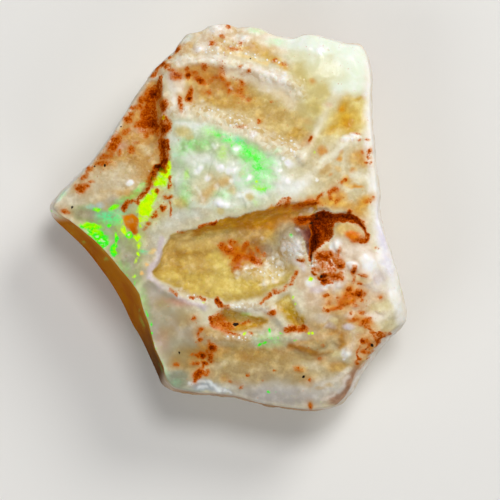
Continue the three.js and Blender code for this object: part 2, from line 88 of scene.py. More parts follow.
# Shell-shaped breaks in the sides: direction, height of middle, half width, half height, depth.
FLAKES = [
    (188, 2.2, 3.2, 3.2, 0.5), (262, 2, 3.6, 3.4, 1.2), (281, 2.6, 4.4, 3.8, 1), (301, 2.2, 3.4, 3.2, 1.3),
    (320, 2.8, 3.6, 3.6, 1.1), (343, 2.8, 4.2, 3.6, 1.4), (4, 3, 3.6, 3.8, 0.9), (24, 3.2, 3.8, 3.6, 1.3),
    (44, 3.4, 3.4, 3.6, 0.9), (62, 3, 3.6, 3.2, 1.3), (80, 2.8, 3.6, 3.4, 0.9), (98, 2.2, 3.8, 3, 1.2),
    (118, 2.6, 3.8, 3.6, 1.1), (136, 2.4, 3.4, 3.2, 1), (156, 2.8, 3.8, 3.6, 0.9), (173, 2.4, 3, 3, 1.2),
]


def closed_curve(points, steps=24):
    """Places along a smooth closed curve through the points."""
    here = np.array(points, float)
    before, after, beyond = (np.roll(here, shift, 0) for shift in (1, -1, -2))
    t = np.linspace(0, 1, steps, endpoint=False)[:, None, None]
    cubic = 3 * (here - after) + beyond - before
    square = 2 * before - 5 * here + 4 * after - beyond
    curve = here + 0.5 * ((after - before) * t + square * t**2 + cubic * t**3)
    return curve.transpose(1, 0, 2).reshape(-1, 2)


outline_places = closed_curve(OUTLINE)
outline_angles = np.arctan2(outline_places[:, 1], outline_places[:, 0])
outline_radii = np.hypot(outline_places[:, 0], outline_places[:, 1])


def outline_radius(angle):
    return np.interp(angle, outline_angles, outline_radii, period=2 * np.pi)


def side_value(angle, column):
    return np.interp(np.degrees(angle), SIDES[:, 0], SIDES[:, column], period=360)


def underside_height(x, y):
    rises = [slope * (x * math.cos(math.radians(way)) + y * math.sin(math.radians(way)) - start)
             for way, start, slope in BREAKS]
    return np.maximum(0, np.max(rises, axis=0))


def flake_depth(angle, height, radius):
    """The deepest flake wins, which leaves a sharp edge where two flakes meet."""
    deepest = np.zeros_like(height)
    for way, middle, half_width, half_height, depth in FLAKES:
        turn = (angle - math.radians(way) + np.pi) % (2 * np.pi) - np.pi
        reach = (turn * radius / half_width) ** 2 + ((height - middle) / half_height) ** 2
        deepest = np.maximum(deepest, depth * (1 - reach))
    return deepest


# ----------------------------
# The face: its heights, hollows, crests and lumps.
# The face is an old surface of the seam. A pale table lies across the middle, crests and a long dip
# cross the top, and below the table a hollow has lost its sandy filling and shows a rusty cleft.
# ----------------------------
SPOT_REACH = 2.0
RIM_WIDTH = 0.6

# Heights of the face: x, y, height.
SPOTS = [
    (-2, 4, 9.2), (1, 3, 9.25), (3.5, 3, 9.2), (-3.5, 1, 9.1), (0, 1.2, 9.3), (3.5, 1.6, 9.25),
    (6, 2.5, 9.15), (8.5, 2.5, 8.9), (10.2, 3, 8.3), (9, 4.8, 8.8), (-4.8, 0, 8.8), (-3, 7.4, 8.8),
    (0, 7, 8.9), (2, 5.8, 9), (4.5, 4.5, 9.1), (-2, 9.3, 8.45), (0, 8.7, 8.35), (2.5, 7.8, 8.35),
    (4.5, 6.5, 8.5), (-3.5, 10.5, 8.5), (0, 10.7, 8.8), (3.5, 9.9, 8.8), (-1, 12, 8.1), (2, 11.8, 8.2),
    (0, 13.2, 7.2), (-3, 12.4, 7.2), (4, 12.5, 7.6), (-4.8, 10.5, 7.2), (6, 10.5, 9), (8, 10, 8.9),
    (7, 8.5, 8.9), (9.3, 11.5, 7.9), (9.7, 8, 8.3), (8.2, 7, 8.5), (6.5, 12.2, 8), (-6.5, 3, 8.3),
    (-9, 3, 7.4), (-7.5, 5.5, 7.7), (-11.8, 0.7, 6.5), (-5.3, 8.5, 7.6), (-6.6, 8, 6.9), (-10.3, 2.6, 6.7),
    (-8, 0.8, 8), (-7, -1.5, 8.4), (-9.5, -0.8, 7.7), (-6, -3.5, 8.5), (-5, -6.5, 8.2), (-3.5, -9, 7.8),
    (-2.5, -11.7, 7.1), (-2.5, -6.8, 8.5), (1, -8.5, 8.3), (2, -10, 7.8), (3, -12.5, 6.7), (6, -10.5, 7.6),
    (7, -12.5, 6.8), (0.5, -6.3, 8.6), (4.5, -8.3, 8.3), (-0.5, -12, 7), (9, -3, 8.9), (7, -4.7, 8.9),
    (11, -5, 8), (10, -8, 7.7), (8, -7.5, 8.4), (5.5, -5.3, 8.7), (10, -1, 8.6), (3, -5.5, 8.6),
    (9.5, -10, 7.1), (11.6, -7, 7.5),
]

# Lip points (x, y, slope of the wall below) and greatest depth.
SANDY_HOLLOW = ([
    (-5.35, -3.75, 1.6), (-4.75, -3, 1.8), (-4.45, -2, 1.8), (-4.05, -1.25, 2.2), (-3.3, -0.85, 2.6),
    (-2, -0.75, 2.8), (-1, -0.4, 2.8), (0, 0, 2.6), (1.5, 0.45, 2.2), (3, 0.68, 2.2), (4, 0.95, 2.2),
    (5, 1.08, 2.4), (6, 1, 2.6), (6.2, 0.5, 2), (5.6, -0.3, 1.2), (5.4, -1.5, 0.9), (5.2, -2.6, 0.8),
    (4.75, -3.3, 0.7), (4.65, -3.9, 0.7), (4.2, -4.75, 0.6), (3.3, -5.1, 0.55), (2.6, -5.6, 0.5),
    (1, -5.9, 0.55), (0, -6.05, 0.6), (-0.6, -5.85, 0.55), (-1.5, -6, 0.5), (-2, -5.7, 0.5),
    (-3, -5.4, 0.55), (-4, -5, 0.7), (-5.1, -4.3, 1),
], 2.4)
RUSTY_CLEFT = ([
    (4.9, -0.25, 1.4), (5.5, 0.05, 2.4), (6, 0.5, 3), (6.6, 0.72, 3), (7.3, 0.35, 3), (8.3, 0.33, 2.6),
    (8.95, 0, 2), (9.3, -0.35, 1.4), (9.6, -0.9, 1), (9.7, -1.45, 0.8), (9.3, -1.3, 1), (8.9, -0.75, 1.2),
    (8.4, -0.45, 1.6), (7.7, -0.55, 2), (7.3, -0.9, 2.2), (7.2, -1.5, 2.2), (6.5, -1.9, 2.2),
    (6.1, -2.5, 2.4), (5.75, -3.25, 2.2), (5.45, -2.5, 2.4), (5.6, -1.5, 2.4), (5.5, -0.8, 2),
], 1.5)
ORANGE_PIT = ([
    (-1.25, -7.3, 1), (-0.7, -6.55, 1.4), (0, -6.2, 1.6), (1, -6.6, 1.6), (2, -6.85, 1.4), (3, -7, 1.2),
    (2.9, -7.45, 1), (2.4, -7.85, 0.8), (1.4, -8.05, 0.8), (0, -8.1, 0.7), (-0.9, -7.75, 0.7),
], 0.75)
OLIVE_PIT = ([
    (3.15, -5.9, 1.2), (3.7, -5.35, 1.2), (4.25, -5.1, 1), (4.65, -5.8, 0.9), (5.1, -6.4, 1),
    (5.6, -7.1, 1), (5.45, -7.85, 1.1), (4.5, -7.85, 1.2), (4, -7.3, 1.2), (3.5, -6.6, 1.4),
], 0.8)
LEFT_STEP = ([
    (-4.75, 9.6, 1.6), (-4.4, 8.2, 2.2), (-4.6, 7, 2.4), (-4.2, 6, 2.4), (-4.15, 5, 2.4), (-4.2, 4.2, 2.4),
    (-4.5, 3.4, 2.2), (-5.05, 2.6, 2), (-5.6, 1.9, 1.8), (-6.2, 1.2, 1.4), (-7.3, 0.7, 0.5),
    (-9, -0.4, 0.1), (-11.4, -0.6, 0.08), (-12.8, 0.6, 0.08), (-10.8, 3.2, 0.14), (-9, 5.2, 0.2),
    (-7.6, 7.2, 0.3), (-6.6, 8.6, 0.35), (-5.7, 9.6, 0.5),
], 0.8)
RUSTY_POCKET = ([
    (-4.7, 9.7, 1), (-4.4, 8.9, 1.4), (-4.45, 8.2, 1.6), (-4.8, 7.3, 1.6), (-4.75, 6.4, 1.4),
    (-5.3, 6, 1.2), (-6, 6.2, 1), (-6.2, 7, 1), (-6, 8, 1), (-5.6, 8.8, 1), (-5.1, 9.4, 1),
], 0.7)
STAINED_DIP = ([
    (-3.9, 9.9, 0.4), (-2.8, 10.45, 0.5), (-1.3, 10.45, 0.55), (0.3, 10.35, 0.55), (1.8, 10, 0.5),
    (3, 9.2, 0.4), (4.4, 8.6, 0.35), (5.4, 7.6, 0.3), (6.1, 6.6, 0.3), (5.7, 5.3, 0.45), (5.1, 4.3, 0.5),
    (4.2, 4.7, 0.5), (3.2, 5.2, 0.5), (1.9, 5.75, 0.5), (1.2, 6.3, 0.5), (0.4, 6.9, 0.5), (-1, 7.2, 0.45),
    (-2.2, 7.6, 0.4), (-3.4, 8.6, 0.4),
], 0.9)
YELLOW_DISH = ([
    (7.1, 6, 0.5), (7.5, 8, 0.4), (8.6, 8.4, 0.4), (9.6, 8.3, 0.4), (9.6, 6.2, 0.4), (8.7, 5.65, 0.9),
    (7.8, 5.6, 0.8),
], 0.45)
LOWER_STEP = ([
    (-0.9, -8.65, 0.4), (1, -8.8, 0.45), (3, -8.95, 0.45), (4.8, -8.85, 0.8), (5.2, -9.2, 0.9),
    (6.2, -9.4, 0.9), (7.1, -9.1, 0.8), (7.6, -8.4, 0.6), (8.2, -9, 0.4), (8, -10.2, 0.3),
    (6.5, -11.4, 0.2), (4, -11.2, 0.15), (1, -10.6, 0.15), (-1, -9.6, 0.2),
], 0.4)
HOLLOWS = [SANDY_HOLLOW, RUSTY_CLEFT, ORANGE_PIT, OLIVE_PIT, LEFT_STEP, RUSTY_POCKET, STAINED_DIP,
           YELLOW_DISH, LOWER_STEP]

# Height, half width, crest line.
RIDGES = [
    (0.3, 0.4, [(-4.2, 10.2), (-2.8, 10.75), (0, 10.7), (1.2, 10.3), (2.6, 10), (4.6, 9.2)]),
    (0.2, 0.6, [(-4.1, 7.6), (-1.6, 6.95), (0.6, 6.7), (2, 5.6), (4.2, 4.5), (5, 4.15)]),
    (0.2, 0.4, [(5.1, 4.1), (5.8, 5.2), (6.3, 6.1), (6.5, 7.2)]),
    (0.15, 0.35, [(6.1, 3.3), (7.2, 4.3), (8.1, 5.1)]),
    (0.22, 0.3, [(-5.4, -4.4), (-4.2, -5.25), (-3, -5.7), (-1.9, -6.1)]),
    (0.2, 0.3, [(0.2, -6.2), (1.2, -6.15), (2.9, -6.2), (3.5, -7), (3.9, -7.6)]),
    (0.2, 0.45, [(-4.6, -1), (-5, -2.2), (-5.6, -3.4)]),
    (0.2, 0.35, [(-1.3, -8.2), (0.4, -8.4), (3, -8.4), (5.8, -8)]),
    (0.15, 0.5, [(-4.2, -0.4), (-2.2, -0.2), (-0.6, 0.3), (1.5, 0.9), (3.2, 1.15)]),
]

# x, y, half length, half width, height, and turn in degrees if any.
LUMPS = [
    (4.4, -1.7, 0.9, 1.3, 0.65, -20), (5.15, -1.5, 0.5, 1.1, 0.35, -15), (7.75, -1.2, 0.9, 0.6, 0.45, 20),
    (8.9, -1.35, 0.6, 0.35, 0.25), (6.35, -8.65, 0.8, 0.45, 0.35, 10), (8.25, -9.4, 0.4, 0.45, 0.35),
    (1.7, 13, 0.8, 0.6, 0.3), (-0.6, 13, 0.8, 0.5, 0.4), (5.8, 12.2, 1, 0.6, 0.2),
    (-0.7, 11.55, 0.9, 0.4, 0.3), (9.5, -3.2, 0.8, 1.3, 0.3, 15), (7.9, -4.5, 0.7, 0.45, 0.3, 20),
    (8.8, -6.8, 0.6, 0.45, 0.25), (6.6, -3.7, 0.6, 0.5, 0.25), (-7.2, 2.4, 1.6, 0.9, 0.15, -20),
    (2.2, -4.3, 1.5, 0.5, 0.25, -5), (-2.6, -4.6, 1.6, 0.5, 0.2, -25), (1, -3.6, 1.3, 0.5, 0.25, -25),
    (7.4, -1.95, 0.3, 0.35, 0.2), (8.6, -3.4, 0.3, 0.35, 0.22), (7.9, -8.3, 0.4, 0.4, 0.15),
    (-2, 11.6, 0.35, 0.3, 0.2), (-3.2, 6.1, 0.7, 0.6, 0.12), (-0.45, 0.95, 0.6, 0.25, 0.15, -10),
    (5.2, -1.3, 0.3, 0.8, 0.3, 25), (-2.9, 8.3, 0.8, 0.7, -0.25), (-1.1, 2.2, 1.2, 0.8, -0.12, 20),
]

# Wet-looking beads of clear silica: x, y, radius.
BEADS = [
    (-6.85, 2.4, 0.3), (1.8, 5.6, 0.33), (8.7, 5.45, 0.25), (8.2, 5.3, 0.2), (5.6, 11.6, 0.28),
    (6.4, 11.6, 0.43), (4.3, 3.6, 0.33), (3.64, 3.6, 0.2), (3.55, 3.1, 0.25), (4.1, 2.4, 0.3),
    (1.45, 2.6, 0.33), (0.1, 3.15, 0.33), (0.5, 3.2, 0.25), (6.15, 2.57, 0.2), (-1.95, 3.35, 0.22),
    (-0.48, 3.4, 0.28), (-1.45, 2.66, 0.2), (0.1, 2.5, 0.2), (-0.3, 0.92, 0.25), (-0.6, 0.98, 0.22),
    (-0.83, 4.88, 0.18), (0.45, 4.6, 0.25), (0.75, 4.7, 0.2), (-2, 11.6, 0.28), (-0.7, 11.5, 0.2),
    (-0.6, 13.1, 0.25), (1, 12.4, 0.3), (1.3, 12.45, 0.25), (0.7, 11.35, 0.18), (4, 9.7, 0.25),
    (3.5, 9.5, 0.25), (3.1, 9.8, 0.18), (2.8, 9.5, 0.2), (4.9, 8.5, 0.25), (4.3, 9.2, 0.18),
    (-3.67, 9.8, 0.38), (-0.2, 10.9, 0.33), (0.15, -2.1, 0.18), (2.4, -1.5, 0.2), (1.3, -3.5, 0.22),
    (1.8, -3.4, 0.2), (2.6, -3.15, 0.22), (3.05, -2.9, 0.2), (3.6, -3.2, 0.25), (0.8, -3.85, 0.2),
    (0.7, -4.15, 0.18), (3.2, -4.4, 0.2), (2.6, -4.65, 0.18), (3.8, -2.2, 0.2), (3.4, -2.6, 0.18),
    (4.8, -0.8, 0.28), (4.9, -1.8, 0.33), (5.1, -2.15, 0.3), (4.75, -2.5, 0.25), (4.5, -1.9, 0.2),
    (5.15, -2.75, 0.2), (4.9, -3.3, 0.2), (5.2, -3.6, 0.18), (5.6, 0.4, 0.25), (4.9, 0.1, 0.22),
    (7.45, -1.9, 0.33), (7.5, -2.15, 0.25), (6.1, -3.15, 0.2), (6.35, -3.25, 0.18), (6.9, -3.3, 0.18),
    (7.2, -3.55, 0.22), (7.5, -3.7, 0.18), (6.75, -3.6, 0.18), (8.5, -3.4, 0.22), (8.8, -3.45, 0.2),
    (-2.65, -5.4, 0.2), (-3.3, -5, 0.18), (-3.35, -5.5, 0.15), (-1.75, -5.6, 0.2), (0.4, -6.1, 0.22),
    (0.8, -5.9, 0.2), (0.05, -6.35, 0.18), (1.2, -6.2, 0.22), (0.4, -8.3, 0.2), (0.9, -8.1, 0.18),
    (1.4, -8.2, 0.2), (0, -8.35, 0.18), (1.9, -8.4, 0.15), (6.9, -4.6, 0.25), (7.6, -4.6, 0.28),
    (5.7, -4.5, 0.25), (8.2, -9.5, 0.33), (10.5, -3, 0.25), (9.7, -2.9, 0.25), (-1.9, 8, 0.18),
    (-3.8, 8, 0.22), (-2.9, 7.5, 0.22), (0.2, 8.9, 0.15), (8.4, -7.55, 0.3),
]
BEAD_SLENDERNESS = 0.3

# Flat breaks across the face: x, y, direction in degrees, slope.
CHAMFERS = [(8.5, -10.9, 326, 0.9), (9.2, 11.2, 40, 0.8), (-3.4, 11.9, 140, 0.6), (-5.2, -10.9, 225, 0.5)]


def to_stretch(x, y, start, end):
    """How far each place is from a straight stretch, and how far along it the nearest point is."""
    run_x, run_y = end[0] - start[0], end[1] - start[1]
    along = np.clip(((x - start[0]) * run_x + (y - start[1]) * run_y) / (run_x**2 + run_y**2), 0, 1)
    return np.hypot(x - start[0] - along * run_x, y - start[1] - along * run_y), along


def is_inside(x, y, lip):
    inside = np.zeros(x.shape, bool)
    for (x1, y1, *_), (x2, y2, *_) in zip(lip, lip[1:] + lip[:1]):
        if y1 != y2:
            inside ^= ((y1 > y) != (y2 > y)) & (x < x1 + (x2 - x1) * (y - y1) / (y2 - y1))
    return inside


def hollow_depth(x, y, hollow):
    """Each wall falls from its own stretch of lip, and the nearest one sets the depth."""
    lip, depth = hollow
    fall = np.full(x.shape, np.inf)
    for start, end in zip(lip, lip[1:] + lip[:1]):
        away, along = to_stretch(x, y, start, end)
        fall = np.minimum(fall, away * (start[2] + (end[2] - start[2]) * along))
    return np.where(is_inside(x, y, lip), depth * (1 - np.exp(-fall / depth)), 0)


def line_distance(x, y, line):
    return np.min([to_stretch(x, y, start, end)[0] for start, end in zip(line, line[1:])], axis=0)


# Where its strength, or its height, stands among an oval's values.
STRENGTH = 4


def oval_distance(x, y, oval):
    """1 on the edge of an oval, 0 at its middle. Its last value, a turn, may be left out."""
    middle_x, middle_y, half_length, half_width, _, *turn = oval
    turn = math.radians(sum(turn))
    cos, sin = math.cos(turn), math.sin(turn)
    along = ((x - middle_x) * cos + (y - middle_y) * sin) / half_length
    across = ((y - middle_y) * cos - (x - middle_x) * sin) / half_width
    return np.hypot(along, across)


def face_height(x, y):
    weights = [np.exp(-((x - sx) ** 2 + (y - sy) ** 2) / SPOT_REACH**2) for sx, sy, _ in SPOTS]
    height = sum(w * spot[2] for w, spot in zip(weights, SPOTS)) / sum(weights)
    for rise, width, crest in RIDGES:
        height += rise * np.exp(-((line_distance(x, y, crest) / width) ** 2))
    for hollow in HOLLOWS:
        height -= hollow_depth(x, y, hollow)
    for lump in LUMPS:
        height += lump[STRENGTH] * np.exp(-oval_distance(x, y, lump) ** 2)
    for bead_x, bead_y, radius in BEADS:
        height += BEAD_SLENDERNESS * radius * np.exp(-((x - bead_x) ** 2 + (y - bead_y) ** 2) / radius**2)
    for start_x, start_y, way, slope in CHAMFERS:
        out = (x - start_x) * math.cos(math.radians(way)) + (y - start_y) * math.sin(math.radians(way))
        height -= slope * np.maximum(0, out)
    return height


# ----------------------------
# The skin of the stone: points and triangles.
# It is one closed surface. Rings of points cover the face, rows run down the sides, and rings close
# the underside. Broken rock has no smooth lips, so the lines of the face are shaken a little.
# ----------------------------
FACE_RINGS = 140
FACE_COLUMNS = 6 * FACE_RINGS
BED_RINGS = FACE_RINGS // 2
BED_COLUMNS = 6 * BED_RINGS
SHOULDER_ROWS = 9
FLANK_ROWS = 9


def scatter(across, along, up, seed):
    """A repeatable random number from 0 to 1 for each whole-number place."""
    number = across.astype(np.int64) * 374761393 + along.astype(np.int64) * 668265263
    number = (number + up.astype(np.int64) * 1440670441 + seed * 974634777) & 0xFFFFFFFF
    number = ((number ^ (number >> 13)) * 1274126177) & 0xFFFFFFFF
    number = ((number ^ (number >> 16)) * 1103515245) & 0xFFFFFFFF
    return (number ^ (number >> 15)) / 2**32


def cloud(place, size, seed):
    """Soft random swells of one size in millimetres, from -1 to 1."""
    scaled = place / size
    corner = np.floor(scaled)
    part = scaled - corner
    part = part**3 * (part * (part * 6 - 15) + 10)
    total = 0
    for step in np.ndindex(2, 2, 2):
        share = np.prod(np.where(step, part, 1 - part), axis=1)
        total += share * scatter(*(corner + step).T, seed)
    return 2 * total - 1


def rough(place, size, seed, layers=3):
    """Swells on swells, each layer half the size and half the height of the one before."""
    return sum(cloud(place, size / 2**n, seed + n) / 2**n for n in range(layers))


def grains(place, size, seed):
    """Closeness to the middle of the nearest random grain, 1 at its middle, and that grain's number."""
    scaled = place / size
    corner = np.floor(scaled)
    nearest = np.full(len(place), np.inf)
    number = np.zeros(len(place))
    for step in np.ndindex(3, 3, 3):
        cell = corner + step - np.array([1, 1, 1])
        middle = cell + np.stack([scatter(*cell.T, seed + axis) for axis in range(3)], axis=1)
        away = np.sum((scaled - middle) ** 2, axis=1)
        number = np.where(away < nearest, scatter(*cell.T, seed + 7), number)
        nearest = np.minimum(away, nearest)
    return 1 - np.minimum(1, np.sqrt(nearest)), number


def shaken(x, y, amounts):
    """The same places, each moved a little sideways: amounts are pairs of size and shift."""
    place = np.stack([x, y, np.zeros_like(x)], axis=1)
    x = x + sum(shift * cloud(place, size, 31) for size, shift in amounts)
    y = y + sum(shift * cloud(place, size, 37) for size, shift in amounts)
    return x, y


def ring_start(ring):
    return 0 if ring == 0 else 1 + 3 * ring * (ring - 1)


def disc_angles_and_shares(rings):
    """Rings of 6, 12, 18 ... points: the direction of each, and its share of the way to the rim."""
    angles = [np.zeros(1)]
    angles += [np.arange(6 * ring) * (2 * np.pi / (6 * ring)) for ring in range(1, rings + 1)]
    shares = [np.full(len(angle), ring / rings) for ring, angle in enumerate(angles)]
    return np.concatenate(angles), np.concatenate(shares)


def disc_triangles(rings):
    triangles = []
    for ring in range(1, rings + 1):
        sector, i = (grid.ravel() for grid in np.mgrid[0:6, 0:ring])
        out = sector * ring + i
        within = sector * (ring - 1) + i
        inner_count = max(1, 6 * (ring - 1))
        outer = ring_start(ring) + out % (6 * ring)
        outer_next = ring_start(ring) + (out + 1) % (6 * ring)
        inner = ring_start(ring - 1) + within % inner_count
        inner_next = ring_start(ring - 1) + (within + 1) % inner_count
        triangles.append(np.stack([outer, outer_next, inner], axis=1))
        between = i < ring - 1
        triangles.append(np.stack([inner, outer_next, inner_next], axis=1)[between])
    return np.concatenate(triangles)


face_angle, face_share = disc_angles_and_shares(FACE_RINGS)
face_rim = outline_radius(face_angle) - side_value(face_angle, SHOULDER_WIDTH)
face_radius = face_rim * face_share
face_x, face_y = face_radius * np.cos(face_angle), face_radius * np.sin(face_angle)
rim_drop = side_value(face_angle, RIM_ROUNDING) * np.exp(-(((face_rim - face_radius) / RIM_WIDTH) ** 2))
FACE_SHAKES = [(0.9, 0.1), (0.3, 0.04)]
face_z = face_height(*shaken(face_x, face_y, FACE_SHAKES)) - rim_drop

column_angle = np.arange(FACE_COLUMNS) * (2 * np.pi / FACE_COLUMNS)
column_widest = outline_radius(column_angle)
column_rim = column_widest - side_value(column_angle, SHOULDER_WIDTH)
column_foot = column_widest - side_value(column_angle, FOOT_INSET)
waist = side_value(column_angle, WIDEST_HEIGHT)
rim_height = face_z[ring_start(FACE_RINGS):]
foot_height = underside_height(column_foot * np.cos(column_angle), column_foot * np.sin(column_angle))

rows = []
for row in range(1, SHOULDER_ROWS + 1):
    part = row / SHOULDER_ROWS
    bow = side_value(column_angle, SHOULDER_BOW)
    radius = column_rim + (column_widest - column_rim) * part**bow
    rows.append((radius, rim_height + (waist - rim_height) * part))
for row in range(1, FLANK_ROWS + 1):
    part = row / FLANK_ROWS
    height = waist + (foot_height - waist) * part
    flake = flake_depth(column_angle, height, column_widest) * math.sin(part * math.pi / 2)
    rows.append((column_widest + (column_foot - column_widest) * part - flake, height))
row_x = np.concatenate([radius * np.cos(column_angle) for radius, _ in rows])
row_y = np.concatenate([radius * np.sin(column_angle) for radius, _ in rows])
row_z = np.concatenate([height for _, height in rows])

bed_angle, bed_share = disc_angles_and_shares(BED_RINGS)
bed_radius = np.interp(bed_angle, column_angle, rows[-1][0], period=2 * np.pi) * bed_share
bed_x, bed_y = bed_radius * np.cos(bed_angle), bed_radius * np.sin(bed_angle)
bed_z = underside_height(bed_x, bed_y)

first_row, first_bed = len(face_x), len(face_x) + len(row_x)
skin = np.stack([
    np.concatenate([face_x, row_x, bed_x]),
    np.concatenate([face_y, row_y, bed_y]),
    np.concatenate([face_z, row_z, bed_z]),
], axis=1)

columns = np.arange(FACE_COLUMNS)
next_columns = (columns + 1) % FACE_COLUMNS
row_starts = [ring_start(FACE_RINGS)] + [first_row + row * FACE_COLUMNS for row in range(len(rows))]
side_triangles = []
for upper, lower in zip(row_starts, row_starts[1:]):
    side_triangles.append(np.stack([upper + columns, lower + columns, lower + next_columns], axis=1))
    side_triangles.append(np.stack([upper + columns, lower + next_columns, upper + next_columns], axis=1))
foot_start, bed_rim = row_starts[-1], first_bed + ring_start(BED_RINGS)
pairs = np.arange(BED_COLUMNS)
foot, foot_middle, foot_next = (foot_start + (2 * pairs + step) % FACE_COLUMNS for step in range(3))
below, below_next = bed_rim + pairs, bed_rim + (pairs + 1) % BED_COLUMNS
stitches = [(foot, below, foot_middle), (foot_middle, below, below_next)]
stitches += [(foot_middle, below_next, foot_next)]
triangles = np.concatenate(
    [disc_triangles(FACE_RINGS)] + side_triangles + [np.stack(stitch, axis=1) for stitch in stitches]
    + [first_bed + disc_triangles(BED_RINGS)[:, ::-1]]
)

# What each point belongs to: the face, the tall hollow break at the lower left, or the underside.
skin_angle = np.arctan2(skin[:, 1], skin[:, 0])
is_face = np.arange(len(skin)) < first_row
is_bed = np.arange(len(skin)) >= first_bed
row_number = np.concatenate([
    np.zeros(len(face_x)),
    np.repeat(np.arange(1, len(rows) + 1), FACE_COLUMNS),
    np.full(len(bed_x), len(rows) + 1),
])


def smooth(amount):
    """0 up to 0, 1 from 1 on, with a soft start and end."""
    amount = np.clip(amount, 0, 1)
    return amount * amount * (3 - 2 * amount)


# The hollow break, by direction in degrees.
HOLLOW_BREAK_START, HOLLOW_BREAK_END = 177, 254
turn_degrees = np.degrees(skin_angle) % 360
in_hollow_break = smooth((turn_degrees - HOLLOW_BREAK_START) / 5)
in_hollow_break *= smooth((HOLLOW_BREAK_END - turn_degrees) / 8)
in_hollow_break = np.where(is_face | is_bed, 0, in_hollow_break)
face_reach = np.where(is_face, 1, (1 - smooth(row_number / SHOULDER_ROWS)) * (1 - in_hollow_break))


# ----------------------------
# The colours of the opal's body.
# Milky opal is silica that set in layers, so it runs from clear grey to white and cream. Sand and
# clay of the seam are left in the dips, and the crests are crusted with sugary grains.
# ----------------------------
def pigment(red, green, blue):
    """A colour given as screen values from 0 to 255, as light."""
    screen = np.array([red, green, blue]) / 255
    return np.where(screen <= 0.04045, screen / 12.92, ((screen + 0.055) / 1.055) ** 2.4)


STAIN_SHAKES = [(0.8, 0.12), (0.25, 0.06)]
stain_x, stain_y = shaken(skin[:, 0], skin[:, 1], STAIN_SHAKES)


def patches(ovals, softness):
    """How fully ovals cover each point: x, y, half length, half width, strength, turn in degrees."""
    covered = np.zeros(len(stain_x))
    for oval in ovals:
        inward = (1 + softness - oval_distance(stain_x, stain_y, oval)) / (2 * softness)
        covered = np.maximum(covered, oval[STRENGTH] * smooth(inward))
    return covered


def strokes(lines, softness):
    """How fully strokes cover each point: half width, strength, places on the line."""
    covered = np.zeros(len(stain_x))
    for half_width, strength, line in lines:
        inward = (1 + softness - line_distance(stain_x, stain_y, line) / half_width) / (2 * softness)
        covered = np.maximum(covered, strength * smooth(inward))
    return covered


def inside_hollow(hollow, deep_enough):
    return smooth(hollow_depth(stain_x, stain_y, hollow) / deep_enough)


def washed(ground, colour, cover):
    """The ground's colours with another laid over them, fully where the cover is 1."""
    return ground + (pigment(*colour) - ground) * np.clip(cover, 0, 1)[:, None]


def lay(colour, cover):
    body[:] = washed(body, colour, cover)


def stain(colour, softness, ovals, within=1):
    lay(colour, patches(ovals, softness) * within)


def streak(colour, softness, lines, within=1):
    lay(colour, strokes(lines, softness) * within)


body = np.tile(pigment(216, 207, 176), (len(skin), 1))

# The table: pale milk with a breath of green, tan where its skin is thin.
stain((191, 206, 176), 0.4, [
    (-2, 3.3, 2.6, 3.2, 0.95), (1, 2.9, 3.4, 2.2, 0.9, 10), (-0.4, 1.3, 4.2, 1, 0.85, 8),
    (-2.8, 5.2, 1.6, 1.8, 0.9), (1.4, 4.8, 1.4, 0.9, 0.8, -30),
])
stain((166, 190, 140), 0.7, [(-2.2, 5.05, 1.3, 0.55, 0.8, 10), (-3, 4.3, 0.5, 0.7, 0.4)])
stain((226, 229, 220), 0.6, [
    (-2.7, 4, 0.8, 0.4, 0.7, -20), (-1.5, 3.9, 1.2, 0.35, 0.6, -10), (2.7, 3.2, 1.2, 1, 0.7),
    (1.6, 1.6, 1.6, 0.35, 0.8, 8), (4, 2.3, 1.3, 0.9, 0.9), (-1.6, 6.2, 1.2, 0.3, 0.6, -12),
    (-3.7, 5.2, 0.4, 0.8, 0.6), (0.8, 3.4, 0.9, 0.5, 0.8), (0, 0.95, 2, 0.3, 0.6, 8),
    (0.8, 2.5, 0.7, 0.6, 0.9), (3.4, 2.9, 0.6, 0.8, 0.6), (-2, 1, 0.8, 0.5, 0.5),
    (-3.4, 2.6, 0.4, 0.6, 0.5),
])
stain((212, 202, 160), 0.5, [
    (-1.25, 2.3, 1.3, 0.9, 0.85, 30), (0.3, 1.8, 0.4, 0.3, 0.5, 20), (5.2, 3.2, 1.1, 1.1, 0.7),
    (6, 2, 1.2, 0.8, 0.6), (1, 2.9, 0.2, 0.2, 0.6),
])
stain((204, 184, 116), 0.5, [
    (-3.1, 5.9, 0.6, 0.4, 0.8, -10), (-2.6, 5.5, 0.3, 0.2, 0.7), (-3.25, 0.95, 0.5, 0.5, 0.8),
    (-0.5, 0.4, 0.3, 0.25, 0.7), (1.54, 1.4, 0.28, 0.26, 0.8),
])
streak((206, 168, 100), 0.9, [
    (0.34, 0.8, [(-0.2, 2.55), (-0.8, 2.15), (-1.2, 1.8), (-1.7, 1.35)]),
    (0.2, 0.5, [(-1.3, 2.7), (-1, 2.4)]), (0.2, 0.5, [(0.3, 2.1), (0.4, 1.7)]),
])
